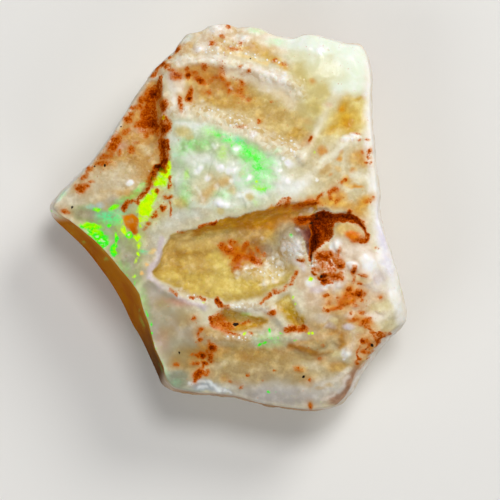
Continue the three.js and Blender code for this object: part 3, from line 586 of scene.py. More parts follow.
# Near-white marks on the table: a few are white streaks of milk, most are painted highlights on its knobs.
streak((244, 247, 243), 1, [
    (0.15, 0.8, [(-2.1, 3.1), (-1.85, 3.4)]), (0.2, 0.9, [(-0.7, 3.45), (-0.5, 3.4)]),
    (0.18, 0.9, [(-0.1, 3.25), (0.35, 3.1)]), (0.2, 1, [(-0.65, 0.98), (-0.15, 0.86)]),
    (0.2, 0.9, [(0.5, 4.6), (0.85, 4.75)]), (0.1, 0.4, [(-2.2, 2), (-1.8, 1.2)]),
    (0.12, 0.5, [(0.9, 1.5), (1.15, 1.4)]), (0.2, 0.5, [(1.2, 1.9), (2, 1.7)]),
    (0.3, 0.7, [(5.6, 2.7), (4.7, 1.9)]), (0.2, 0.7, [(3.4, 3.6), (3.5, 3.1)]),
    (0.2, 0.6, [(3.8, 2.6), (4.1, 2.3)]), (0.14, 0.4, [(-2.9, 4.9), (-2.3, 4.2)]),
    (0.12, 0.7, [(-1.1, 4.9), (-1, 4.75)]), (0.2, 0.4, [(2.3, 3), (3, 2.6)]),
    (0.2, 0.4, [(-3.6, 6.4), (-1.6, 6.3)]), (0.16, 0.8, [(1.4, 2.75), (1.5, 2.6)]),
    (0.14, 0.7, [(-1.5, 2.75), (-1.4, 2.65)]), (0.12, 0.4, [(-0.9, 2.1), (0, 1.4)]),
])

# The worn top: cream with ochre streaks, under a white sugary crest.
stain((222, 203, 166), 0.3, [
    (-0.6, 12.2, 2.6, 1.4, 1), (2.2, 12.3, 2, 1.1, 1, -15), (-2.9, 11.4, 1.2, 0.9, 1, 40),
])
streak((206, 166, 76), 0.8, [
    (0.34, 0.95, [(0.8, 11.7), (1.5, 11.75), (2.5, 11.3)]),
    (0.26, 0.9, [(2.7, 11), (3.5, 10.7), (4.1, 10.2)]),
    (0.3, 0.5, [(-1.2, 12.4), (-0.6, 11.9), (0.2, 11.9), (0.8, 12)]),
    (0.28, 0.6, [(-1.6, 12.2), (-0.8, 12.1), (0.4, 12.3)]), (0.3, 0.6, [(-1.5, 11.4), (0.8, 11.8)]),
    (0.35, 0.5, [(-3, 12), (-2.3, 11.6)]),
])
stain((210, 138, 48), 0.9, [
    (-1.02, 12.1, 0.32, 0.26, 0.9), (-0.36, 12.56, 0.2, 0.16, 0.8), (0.3, 11.65, 0.5, 0.14, 0.5),
    (3.2, 10.7, 0.25, 0.14, 0.7), (3.85, 10.45, 0.3, 0.12, 0.7, -30), (-3.3, 12, 0.4, 0.5, 0.5),
    (1.6, 11.6, 0.5, 0.2, 0.4, -10),
])
# White lumps along the worn top, partly white milk and partly painted highlights.
stain((246, 240, 234), 0.6, [
    (-0.7, 13, 0.9, 0.4, 0.8), (-2, 11.6, 0.5, 0.25, 0.8), (0.9, 12.4, 0.7, 0.3, 0.7),
    (1.7, 12.9, 0.9, 0.35, 0.7, -10), (-1.5, 11.9, 0.5, 0.8, 0.5, 30), (3.2, 12.2, 0.9, 0.5, 0.8, -20),
])

# The long dip: sand stained brown at its left end, tan towards the right.
lay((200, 178, 118), inside_hollow(STAINED_DIP, 0.25))
stain((186, 132, 56), 0.7, [
    (-0.6, 9.5, 1.5, 1, 0.85), (0.4, 8.8, 0.9, 0.8, 0.8), (-1.9, 9.9, 0.7, 0.5, 0.8),
    (-1.3, 8.8, 1, 0.5, 0.7, 10),
])
stain((200, 124, 30), 0.8, [
    (-0.42, 9.95, 0.36, 0.6, 0.9), (-1.5, 9.8, 0.4, 0.4, 0.7), (0.8, 8.6, 0.5, 0.5, 0.8),
    (-0.2, 9.1, 0.3, 0.3, 0.7), (1.4, 8, 0.3, 0.25, 0.6), (-1.6, 8.7, 0.5, 0.25, 0.5),
    (-2.2, 9.9, 0.3, 0.2, 0.7),
])
stain((188, 146, 64), 0.5, [
    (-0.3, 7.9, 1.6, 0.5, 0.8), (1.4, 8, 0.8, 0.7, 0.6), (4.8, 5.8, 0.9, 0.5, 0.95, 40),
    (5.1, 6.6, 0.8, 0.5, 0.5), (3.2, 7.2, 1.4, 0.5, 0.3),
])
stain((232, 226, 212), 0.4, [
    (-3.6, 9.3, 0.6, 0.9, 1, 20), (-3.6, 8, 0.5, 0.6, 0.9), (-2.8, 7.5, 0.8, 0.3, 0.9),
])
stain((206, 184, 138), 0.5, [(-2.9, 8.3, 0.6, 0.6, 0.9)])
stain((206, 148, 118), 0.5, [(-3.67, 9.74, 0.4, 0.36, 0.8)])

# The two sugary crests.
SUGARY_CRESTS = [
    (0.28, 0.95, [(-4.4, 10.2), (-3.8, 10.6), (-2.8, 10.9), (-1.4, 10.75), (0, 10.85), (1.2, 10.35)]),
    (0.5, 0.9, [(1.2, 10.3), (2.4, 9.8), (3.7, 9.6), (4.4, 9.2), (4.9, 8.5)]),
    (0.55, 0.9, [(-3.9, 7.5), (-2.4, 7.4), (-0.6, 6.8), (0.8, 6.5), (1.9, 5.8), (3.4, 4.9), (4.8, 4.4)]),
]
streak((212, 160, 88), 0.9, [(0.32, 0.9, [(-3.3, 10.2), (-2, 10.3), (-0.6, 10.3), (0.3, 10.1)])])
streak((238, 222, 184), 0.9, [(0.36, 0.9, [(0.3, 10), (1.6, 9.5), (2.8, 9), (3.8, 8.5), (4.4, 7.9)])])
streak((228, 214, 178), 0.6, SUGARY_CRESTS)
streak((246, 244, 238), 0.9, [
    (0.3, 0.9, [(1.3, 10.25), (2.4, 9.9), (3.6, 9.6), (4.3, 9.1)]),
    (0.2, 0.6, [(-3.4, 10.75), (-2, 10.95), (-0.6, 10.9)]), (0.2, 0.4, [(-3.6, 7.7), (-2.9, 7.5)]),
])
streak((202, 176, 112), 0.8, [
    (0.36, 0.9, [(-2.6, 7.6), (-1.6, 7.5), (-0.6, 7.1), (0.8, 6.7), (1.9, 6.1), (3, 5.5), (4.2, 4.9)]),
])
streak((226, 218, 180), 0.9, [
    (0.16, 0.7, [(-2.4, 7.1), (-1.2, 6.9), (0.2, 6.4), (1.2, 5.9), (1.9, 5.4), (3, 4.9), (4.2, 4.5)]),
    (0.2, 0.6, [(-0.9, 7.2), (-0.4, 7.2), (0.1, 7)]),
])
# Lighter along the dip's upper wall under the first crest, where the crest's shade falls: painted light.
streak((242, 232, 212), 1, [(0.4, 0.6, [(-0.1, 10.3), (1.2, 9.9), (2.6, 9.35), (3.7, 8.8)])])
# A thin golden ridge, its bright line partly painted highlight.
streak((240, 212, 146), 1, [(0.14, 0.8, [(0.1, 11.4), (0.9, 11.2), (1.9, 10.8), (2.7, 10.6)])])

# The upper right: a smooth white dome over cream, with one yellow dish.
stain((210, 196, 134), 0.3, [
    (6.1, 7.8, 1.3, 2.2, 0.95), (5.4, 9.6, 1.2, 1.3, 0.9), (6.6, 5.6, 0.9, 0.9, 0.6),
])
stain((236, 245, 230), 0.35, [
    (6.2, 11.9, 2.6, 0.8, 1, -5), (8.6, 10.8, 1.5, 1.7, 1), (8.4, 9.2, 1.4, 0.8, 0.9),
    (6.8, 10.9, 1.4, 0.8, 0.6),
])
stain((226, 226, 192), 0.5, [(6.7, 10.2, 1.5, 0.9, 0.8, -10), (4.9, 11.1, 0.9, 0.5, 0.8)])
stain((224, 204, 130), 0.5, [(8.7, 7, 1, 1.4, 1), (8.1, 6.6, 1.3, 0.9, 0.9, 30), (9.2, 7.6, 0.6, 0.7, 0.9)])
stain((204, 160, 34), 0.8, [
    (7.95, 7.5, 0.4, 0.75, 0.9, -20), (8.1, 6.7, 0.7, 0.7, 0.9), (7.3, 6.25, 0.7, 0.25, 0.8, 35),
    (8.5, 6, 0.5, 0.3, 0.7), (9, 8.15, 0.6, 0.12, 0.8, 10), (8.6, 7.4, 0.4, 0.4, 0.5, 30),
])
stain((204, 128, 10), 0.9, [(7.85, 7.4, 0.22, 0.2, 0.8), (8.3, 6.5, 0.4, 0.3, 0.4)])

# The right middle: cream, paler on two thin healed cracks, with ochre in the dents.
stain((208, 194, 156), 0.3, [(7.6, 3.4, 2.4, 1.9, 0.9), (8.6, 1.4, 1.8, 1.2, 0.9), (9.2, 5, 0.8, 0.6, 0.6)])
stain((206, 163, 84), 0.45, [
    (9.1, 4, 0.75, 0.6, 0.8, -10), (6.55, 4.5, 0.3, 0.35, 0.7), (8.2, 2.4, 0.35, 0.4, 0.9, 30),
    (8.7, 2.05, 0.55, 0.15, 0.8, -5), (7.5, 1.3, 0.7, 0.45, 0.8), (9.7, 1.1, 0.5, 0.4, 0.7, 20),
    (8.7, 3.2, 0.3, 0.25, 0.7), (7.5, 3.3, 0.25, 0.2, 0.6), (6.6, 3.4, 0.5, 0.4, 0.5),
    (9.2, 0.3, 0.5, 0.5, 0.6), (5.9, 1.3, 0.6, 0.25, 0.5), (7.8, 4.2, 0.2, 0.3, 0.6),
])
stain((212, 136, 30), 0.9, [
    (6.97, 7.73, 0.2, 0.17, 0.9), (5.86, 9.3, 0.16, 0.16, 0.6), (7.7, 4.05, 0.2, 0.15, 0.8),
    (8.6, 3.2, 0.2, 0.15, 0.8), (7.8, 4.5, 0.12, 0.12, 0.7), (6.55, 4.5, 0.3, 0.26, 0.6),
    (8.95, 1.98, 0.4, 0.08, 0.8), (7, 2.85, 0.12, 0.12, 0.6), (9.1, 4.2, 0.4, 0.25, 0.4),
    (5.3, 5.05, 0.4, 0.2, 0.4, 30), (7.5, 1.2, 0.5, 0.4, 0.6, 20), (5.4, 6.6, 0.5, 0.2, 0.3, -10),
])
streak((232, 226, 202), 1, [
    (0.2, 0.85, [(5.9, 3.2), (7.1, 4.2), (8, 4.9), (9, 5.3)]),
    (0.24, 0.8, [(4.7, 3.8), (5.5, 4.8), (6.1, 5.8), (6.4, 6.8)]),
    (0.26, 0.6, [(6.4, 6.4), (6.8, 7.4), (7.3, 8.4)]), (0.24, 0.7, [(8.6, 2.9), (9.6, 2.6), (10.2, 2.3)]),
])
# A painted highlight along the lower edge of the yellow dish.
streak((252, 250, 244), 0.9, [(0.16, 0.9, [(7.95, 5.4), (8.3, 5.45), (8.9, 5.5)])])

# The left facet: tan by the crack, paler to the tip, with a thin white skin along its outer edge.
lay((198, 158, 96), inside_hollow(LEFT_STEP, 0.2))
stain((193, 139, 68), 0.5, [
    (-5.1, 4.2, 0.45, 1.2, 0.8), (-5.4, 5.6, 0.9, 0.5, 0.7), (-5.3, 3, 0.3, 0.6, 0.7, -20),
    (-6.6, 4.6, 0.4, 0.35, 0.6), (-6.1, 5, 0.4, 0.3, 0.4),
])
stain((212, 197, 164), 0.4, [
    (-7.8, 2.7, 1.5, 0.9, 0.9, 20), (-9.6, 2.3, 1.2, 0.9, 0.9, 40), (-9.2, 1.2, 1.4, 0.6, 0.9, 10),
    (-6.4, 2.2, 0.7, 0.5, 0.7), (-5.3, 4.8, 0.4, 0.3, 0.5), (-11.4, 0.8, 0.8, 0.7, 0.9, 30),
])
stain((204, 198, 176), 0.8, [(-10.3, 1.3, 1.2, 0.6, 0.7, 25)])
stain((226, 206, 158), 0.9, [
    (-5.35, 4.6, 0.4, 0.3, 0.8), (-5, 3.9, 0.25, 0.35, 0.7), (-5.7, 4.9, 0.3, 0.16, 0.6),
])
# A painted highlight: the bright spot on the facet's bead.
stain((255, 255, 255), 0.3, [(-6.75, 2.36, 0.22, 0.21, 1)])
stain((204, 176, 180), 0.9, [(-7.4, 4.85, 0.4, 0.3, 0.7, 20), (-5.9, 6, 0.6, 0.16, 0.6)])
streak((214, 222, 214), 0.7, [
    (0.22, 0.85, [
        (-11.9, 1.3), (-10.3, 3), (-8.5, 4.9), (-7.4, 6.6), (-6.6, 7.9), (-5.7, 9.4), (-5, 10.1),
    ]),
    (0.2, 0.8, [(-3.2, 12.2), (-2.7, 12.6)]),
])

# The clear corner at the left, greenish grey with lilac milk in it, and the waxy lip beside it.
stain((164, 164, 122), 0.35, [
    (-8.4, -0.5, 1.8, 0.9, 1, -35), (-6.9, -2.2, 1.2, 1.4, 1, -20), (-6.6, -3.9, 0.8, 0.9, 0.9),
    (-9.8, 0.2, 1.4, 0.5, 0.9, -15), (-7.4, 0.7, 0.9, 0.5, 0.8), (-6.4, -0.2, 0.9, 0.9, 0.6),
])
stain((172, 167, 154), 0.8, [
    (-9.5, 0.15, 0.8, 0.3, 0.8, -10), (-6.9, -2.9, 0.6, 0.6, 0.8), (-12, 0.6, 0.3, 0.3, 0.8),
    (-8.1, 1.1, 0.7, 0.25, 0.6, 5), (-8.4, -1, 0.5, 0.3, 0.6), (-7.2, -1.9, 0.4, 0.6, 0.6),
])
stain((187, 205, 205), 0.6, [(-8.8, 0.85, 0.3, 0.2, 0.9), (-9.5, 0.7, 0.4, 0.15, 0.8)])
stain((196, 186, 156), 0.35, [
    (-4.6, -0.5, 1.3, 0.9, 0.6), (-5.3, -1.8, 0.7, 1.3, 0.95, 10), (-2.6, 0.1, 1.6, 0.5, 0.9, 10),
    (-5.3, -4, 0.5, 0.8, 0.8, 20),
])
stain((206, 208, 194), 0.8, [
    (-5, -1.2, 0.4, 0.8, 0.7, 20), (-4.4, -0.6, 0.8, 0.4, 0.7, 20), (-3, 0.15, 1.2, 0.4, 1, 8),
])
streak((208, 196, 200), 0.8, [
    (0.2, 0.9, [
        (-4.6, -1.6), (-4.8, -2.8), (-5.3, -3.5), (-5.4, -4.2), (-4.6, -5), (-3.6, -5.5), (-2.4, -6),
        (-1.7, -6.3),
    ]),
])

# The lower left slope: smooth, greyish tan, bluer where it is clear.
stain((172, 164, 138), 0.3, [
    (-4.4, -7, 1.4, 2.2, 1, 15), (-3.2, -8.6, 1.6, 1.8, 1), (-5.4, -5.2, 0.6, 0.8, 0.9),
])
stain((196, 184, 176), 0.8, [
    (-4.9, -5.6, 0.5, 0.8, 0.6, 10), (-3.6, -7.6, 0.6, 0.7, 0.5), (-4.9, -8.2, 0.3, 0.8, 0.5, 15),
    (-2.6, -8, 0.6, 0.5, 0.4),
])
stain((174, 152, 104), 0.9, [
    (-4.6, -6, 0.5, 0.5, 0.8), (-4, -8, 0.6, 0.5, 0.6), (-3, -7, 0.6, 0.6, 0.8), (-2.2, -8, 0.5, 0.4, 0.5),
])
stain((206, 150, 124), 0.8, [(-3.4, -5.95, 0.9, 0.28, 0.7, -14), (-4.5, -8.6, 0.4, 0.8, 0.3)])
stain((166, 138, 74), 0.5, [
    (-1.2, -9.6, 2.2, 0.7, 0.8), (-3, -10, 1.2, 0.9, 0.7), (-0.2, -11, 1.2, 0.6, 0.7),
])
stain((150, 156, 138), 0.4, [(-3.5, -11.3, 0.9, 0.8, 0.9), (-2.5, -12, 1.2, 0.3, 0.8)])
stain((165, 174, 180), 0.4, [
    (-1.6, -11.7, 1, 0.4, 0.95, -12), (-0.4, -12.1, 0.8, 0.2, 0.8, -10), (2.3, -12.6, 0.6, 0.4, 0.6),
])

# The lower slope: sandy brown under its step, clear grey towards the foot.
stain((178, 148, 86), 0.6, [
    (1.6, -9.5, 3.4, 0.7, 0.95, -2), (6.2, -9.5, 2, 0.5, 0.8, 5), (0.8, -10.4, 1.6, 0.5, 0.7),
])
stain((172, 154, 120), 0.8, [(3, -11, 3.4, 0.7, 0.9), (6.8, -10.8, 1.8, 0.7, 0.8)])
stain((186, 163, 112), 0.9, [
    (0.6, -10.5, 1.6, 0.8, 0.7, -10), (3.6, -10.4, 1.2, 0.6, 0.7), (5.6, -11, 1.2, 0.5, 0.7),
    (1.8, -11.4, 0.9, 0.35, 0.5), (7.2, -10.3, 0.9, 0.5, 0.7), (2.3, -10.2, 0.5, 0.5, 0.6),
    (4.4, -11.6, 0.6, 0.3, 0.5),
])
stain((190, 132, 58), 0.9, [
    (5.3, -8.6, 1.2, 0.3, 0.8, 6), (7.7, -8.5, 0.4, 0.4, 0.7), (4.9, -9.1, 0.8, 0.2, 0.7, -6),
    (5, -10.5, 0.4, 0.2, 0.7), (7.5, -10.3, 0.5, 0.25, 0.7, 10), (1, -9.6, 0.6, 0.3, 0.4),
    (-0.3, -9.3, 0.4, 0.3, 0.5), (3.4, -9.2, 0.5, 0.3, 0.4), (6.4, -9.4, 0.6, 0.16, 0.6, 10),
    (-0.2, -11.2, 0.4, 0.3, 0.6, -20), (0.6, -11.6, 0.6, 0.16, 0.5, -15),
])
stain((214, 200, 168), 0.9, [
    (5.3, -8.4, 0.5, 0.14, 0.5, 6), (2, -10.6, 0.6, 0.2, 0.5), (5.9, -10.2, 0.5, 0.25, 0.6),
    (6.9, -9.7, 0.5, 0.2, 0.6), (-0.6, -10.2, 0.5, 0.2, 0.5), (3.2, -8.9, 0.8, 0.2, 0.4),
])
stain((174, 148, 92), 0.6, [(6.3, -8.75, 1.1, 0.35, 0.8, 4), (7.2, -8.5, 0.5, 0.4, 0.6)])
stain((186, 180, 172), 0.6, [(3.8, -12.4, 3.6, 0.8, 1, -3), (6.6, -12.2, 1.5, 0.9, 0.8)])
# Thin white lines in the clear patch near the foot: painted highlights.
streak((238, 242, 240), 0.9, [
    (0.12, 0.8, [(-2.6, -11.5), (-2.1, -11.3), (-1.6, -11.5)]),
    (0.14, 0.9, [(-1.3, -11.5), (-0.9, -11.8), (-0.6, -12)]), (0.1, 0.7, [(-2, -11.8), (-1.5, -11.9)]),
    (0.08, 0.6, [(-0.3, -12.1), (0.1, -12.2)]),
])
stain((184, 150, 84), 0.5, [
    (7.8, -10.4, 0.7, 0.28, 0.8, 5), (4.9, -10.6, 0.35, 0.18, 0.7), (7, -11.7, 0.3, 0.2, 0.6),
    (6.4, -11.9, 0.4, 0.15, 0.5), (5.8, -13.1, 0.2, 0.15, 0.8), (3.3, -10.6, 0.15, 0.12, 0.6),
])
stain((160, 120, 94), 0.35, [(8.75, -11.6, 0.7, 1.9, 0.95, -32), (7.8, -12.7, 0.8, 0.5, 0.9)])
streak((218, 208, 196), 0.8, [
    (0.12, 0.8, [(6.6, -12.7), (7.3, -12.5), (7.8, -11.9), (8.4, -11.1)]),
    (0.2, 0.5, [(7.6, -11.3), (8.3, -10.6)]),
])

# The pale band above the lower slope.
streak((190, 156, 94), 0.8, [(0.4, 0.9, [(-1.3, -8.1), (-0.4, -8.3), (0.6, -8.4), (1.8, -8.4)])])
streak((196, 190, 168), 0.5, [
    (0.5, 0.9, [(2, -8.5), (3.2, -8.1), (4.2, -8.2)]), (0.3, 0.7, [(4, -8.6), (5.2, -8.3)]),
    (0.35, 0.8, [(1.2, -6.3), (2.6, -6.3), (3.3, -7), (3.9, -7.6)]),
])

# The right shoulder: pinkish cream with white and lilac knobs, and yellow milk in the dents.
stain((213, 190, 162), 0.3, [
    (8.4, -2.6, 2, 1.4, 0.95), (6.4, -5.4, 1.3, 1.3, 0.95), (9.4, -5.6, 1.6, 2, 0.9),
    (9.4, -8.6, 1.3, 1.4, 0.8), (5.2, -4.4, 0.6, 0.8, 0.8),
])
stain((176, 146, 96), 0.6, [(7, -7.4, 1.9, 0.9, 0.95, -8)])
stain((222, 210, 162), 0.5, [
    (10.6, -6.1, 0.9, 0.4, 0.8, 15), (7.4, -7.3, 0.3, 0.25, 0.6), (9.4, -7.7, 0.8, 0.4, 0.5),
    (11.2, -7.6, 0.5, 0.4, 0.7, 30), (7.7, -9.5, 0.7, 0.25, 0.7), (10.2, -2.2, 0.3, 0.3, 0.6),
    (9.4, -4.1, 0.5, 0.5, 0.5),
])
stain((198, 160, 104), 0.5, [
    (6.2, -8.2, 0.8, 0.25, 0.6), (8.1, -8.5, 0.5, 0.4, 0.8), (9.6, -8.9, 1, 0.9, 0.5, 20),
    (9.8, -9.9, 0.9, 0.5, 0.7, 45),
])
# Near-white on the shoulder's knobs: white milk, with painted highlights on the brightest of them.
stain((254, 251, 246), 0.7, [
    (9.7, -3.3, 0.6, 0.9, 1, 15), (10.6, -2.9, 0.5, 0.7, 0.9, 15), (8.6, -3.4, 0.45, 0.2, 0.9),
    (7.2, -4.75, 0.9, 0.22, 0.95, 8), (5.7, -4.5, 0.35, 0.3, 0.85), (7.5, -1.9, 0.28, 0.35, 0.95, -20),
    (11.3, -5, 0.4, 0.8, 0.7, 12), (7.9, -4.5, 0.35, 0.3, 0.8), (6.2, -3.4, 0.3, 0.3, 0.7),
    (8.25, -9.45, 0.3, 0.3, 0.85), (8.5, -6.8, 0.3, 0.2, 0.7), (9, -2.4, 0.9, 0.5, 0.35),
    (10.2, -4.6, 0.8, 0.5, 0.5), (9.9, -6.9, 0.7, 0.3, 0.5), (6.6, -7, 0.8, 0.3, 0.3),
])
stain((216, 204, 214), 0.5, [
    (8.4, -7.6, 0.35, 0.25, 0.8), (6.3, -4.9, 0.6, 0.3, 0.6, 10), (7.1, -7.6, 0.4, 0.2, 0.4),
    (5.1, -3.4, 0.4, 0.3, 0.6, -40), (10.4, -4.1, 0.5, 0.5, 0.4),
])
# Near-white along the right rim, where the rim catches the light: painted highlight.
streak((246, 243, 236), 0.8, [
    (0.42, 0.95, [(9.95, 11), (9.9, 9.6), (9.85, 6.9), (9.95, 4.4), (10.25, 2)]),
    (0.4, 0.8, [(10.3, 2), (10.4, 0), (10.7, -1.8), (11.2, -3.6), (11.7, -5.6), (12, -6.9)]),
])
stain((226, 224, 244), 0.6, [(10.7, -1, 0.4, 1.8, 0.7, 10), (11, -3.4, 0.35, 0.9, 0.6, 15)])

# The brown rim of the shallow dish between the shoulder and the lower slope.
streak((164, 108, 22), 1, [
    (0.16, 0.9, [(4.3, -8.85), (4.75, -9.1), (5.5, -9.25), (6.1, -9.3)]),
    (0.2, 0.9, [(7.9, -8.3), (8.05, -8.7), (7.8, -9)]),
    (0.16, 0.6, [(7, -8.1), (7.5, -7.95), (7.9, -8.15)]),
])

# The hollow: yellow sand on its floor, brown under the overhang, grey clear opal at its right end.
lay((184, 156, 74), inside_hollow(SANDY_HOLLOW, 0.2))
stain((222, 194, 126), 0.7, [
    (-3.3, -1.6, 1.1, 0.6, 0.9, 25), (-2, -1.9, 1.3, 0.4, 0.7, -8), (-4.1, -2.6, 0.5, 0.9, 0.7, -10),
    (-2.2, -3.1, 0.8, 0.5, 0.6), (-0.9, -1.6, 1, 0.5, 0.7),
], inside_hollow(SANDY_HOLLOW, 0.15))
stain((222, 198, 108), 0.6, [
    (0.6, -4.7, 2, 0.55, 0.9), (-0.5, -3.1, 0.9, 0.6, 0.8, -30), (-4.1, -4.1, 0.7, 0.25, 0.8, -15),
    (2.7, -4.1, 1.3, 0.5, 0.8, 10), (-2.6, -4.9, 0.7, 0.25, 0.8, -20), (0.1, -4, 0.9, 0.3, 0.6, -20),
], inside_hollow(SANDY_HOLLOW, 0.15))
stain((168, 128, 58), 0.9, [
    (-3.4, -2.6, 0.6, 0.2, 0.6, 20), (-2.3, -2.5, 0.7, 0.16, 0.5, -5), (-1.9, -3.6, 0.4, 0.25, 0.5),
    (-3.6, -3.4, 0.4, 0.16, 0.4, -20), (-1.2, -2.4, 0.5, 0.16, 0.5, 10),
], inside_hollow(SANDY_HOLLOW, 0.15))
# The orange-brown band under the overhang: partly stain, partly painted shade.
streak((196, 134, 10), 0.6, [
    (0.35, 0.95, [(-2.2, -0.8), (-0.6, -0.45), (0.4, -0.2), (1.6, 0.2), (3, 0.4), (4.4, 0.6), (5.8, 0.8)]),
    (0.5, 1, [(0.6, -0.5), (2, -0.4), (3.1, -0.5), (4, 0)]),
], inside_hollow(SANDY_HOLLOW, 0.06))
stain((186, 152, 94), 0.6, [
    (1.4, -1.3, 1.5, 0.5, 0.8), (-0.2, -1.4, 0.8, 0.5, 0.6), (2.6, -2.3, 0.6, 0.5, 0.8),
], inside_hollow(SANDY_HOLLOW, 0.1))
stain((200, 128, 30), 1, [
    (0.9, -2.7, 1, 0.5, 0.8, -15), (0.65, -3.2, 0.45, 0.6, 0.7), (1.2, -2.3, 0.9, 0.3, 0.5),
])
streak((196, 116, 4), 0.9, [
    (0.4, 1, [(-0.1, -2.25), (0.35, -2.35), (0.7, -2.6), (1.05, -2.75), (1.5, -2.85), (2, -3.1)]),
    (0.32, 1, [(0.6, -2.2), (0.7, -2.5), (0.6, -3), (0.75, -3.4)]),
    (0.3, 1, [(1.1, -2.2), (1.05, -2.6), (0.85, -3.1)]),
])
stain((140, 84, 30), 0.8, [(2.35, -2.35, 0.7, 0.42, 1), (1.8, -1.85, 0.5, 0.35, 0.8)])
# Painted highlights: small cream-white glints on the hollow's floor.
streak((252, 240, 208), 0.9, [
    (0.1, 0.9, [(0.55, -3.85), (0.75, -3.8)]), (0.12, 0.8, [(1.7, -3.45), (2, -3.4)]),
    (0.1, 0.9, [(2.6, -3.5), (2.8, -3.45)]), (0.14, 0.9, [(2.5, -4.4), (2.8, -4.5)]),
    (0.12, 0.9, [(3.1, -4.35), (3.4, -4.4)]), (0.12, 0.8, [(2.4, -4.7), (2.7, -4.75)]),
    (0.08, 0.9, [(3, -2.8), (3.1, -2.8)]), (0.08, 0.9, [(3.55, -3.1), (3.65, -3.15)]),
    (0.1, 0.7, [(1.2, -3.6), (1.5, -3.6)]), (0.1, 0.7, [(3.6, -3.9), (3.9, -3.85)]),
])
stain((178, 168, 142), 0.6, [
    (4.2, -1.3, 0.9, 1.1, 0.9, -20), (3.3, -2.2, 0.9, 0.6, 0.7), (4.2, -2.9, 0.6, 0.5, 0.8),
    (5.4, 0.35, 0.5, 0.3, 0.6),
])
stain((166, 130, 72), 0.7, [(3.75, -2.45, 0.35, 0.35, 0.9)])
# White on the clear knob at the hollow's right end: partly its milk, partly painted highlight.
stain((252, 255, 255), 0.6, [
    (4.72, -2.1, 0.42, 0.5, 1, 10), (4.25, -1.95, 0.4, 0.25, 0.9, 20), (4.7, -3, 0.25, 0.4, 0.8),
])
DARK_BOSS = ([
    (4.5, -0.2, 2), (5.2, -0.1, 2), (6.05, -0.3, 2), (6, -1.6, 2), (5.8, -2.7, 2), (5.5, -2.5, 2),
    (5.3, -1.75, 2), (4.95, -1.15, 2), (4.65, -0.75, 2),
], 0.5)
lay((104, 52, 42), inside_hollow(DARK_BOSS, 0.2))
stain((140, 98, 98), 0.9, [(4.95, -1, 0.16, 0.4, 0.7, 30)])
# A painted highlight on the dark boss.
stain((255, 248, 248), 0.5, [(4.82, -0.78, 0.13, 0.12, 1)])
stain((206, 176, 112), 0.5, [(8.1, -0.95, 0.9, 0.5, 1, -5), (6.9, -2.1, 0.5, 0.2, 0.8, 30)])
stain((214, 104, 0), 0.4, [(8.55, -1.3, 0.55, 0.32, 1, -5), (9, -1.5, 0.3, 0.12, 0.8)])
stain((176, 96, 36), 0.8, [
    (6.9, -2.7, 0.8, 0.45, 0.85), (6.9, -3.5, 1, 0.5, 0.7, -10), (7.1, -4.2, 0.8, 0.3, 0.8, -10),
    (7.7, -3.2, 0.3, 0.6, 0.7),
])
# Painted highlights: pale pink glints between the rust grains.
stain((236, 214, 206), 0.9, [
    (6.6, -3.1, 0.12, 0.1, 0.9), (6.3, -3.4, 0.14, 0.1, 0.8, 30), (6.95, -3.3, 0.12, 0.1, 0.8),
    (7.35, -3.5, 0.14, 0.1, 0.8, -30), (7.2, -3.1, 0.1, 0.1, 0.8), (6.1, -3.1, 0.1, 0.1, 0.7),
    (7.5, -2.85, 0.1, 0.14, 0.7), (6.75, -3.75, 0.12, 0.08, 0.7), (7.1, -3.85, 0.1, 0.08, 0.6),
])

# The two small pits.
lay((188, 140, 34), inside_hollow(ORANGE_PIT, 0.2))
stain((174, 154, 76), 0.8, [(0.7, -6.8, 0.9, 0.35, 0.9, -5), (2.1, -7.05, 0.6, 0.2, 0.6)])
streak((212, 96, 50), 1, [(0.16, 0.7, [(-1.1, -7.1), (-1, -7.5), (-0.4, -7.8), (0.2, -8)])])
lay((188, 156, 32), inside_hollow(OLIVE_PIT, 0.3))
stain((172, 126, 34), 0.8, [(4.9, -7.2, 0.6, 0.5, 0.8, -40)], inside_hollow(OLIVE_PIT, 0.3))
stain((214, 196, 120), 0.8, [(4.1, -5.7, 0.4, 0.4, 0.7)], inside_hollow(OLIVE_PIT, 0.3))


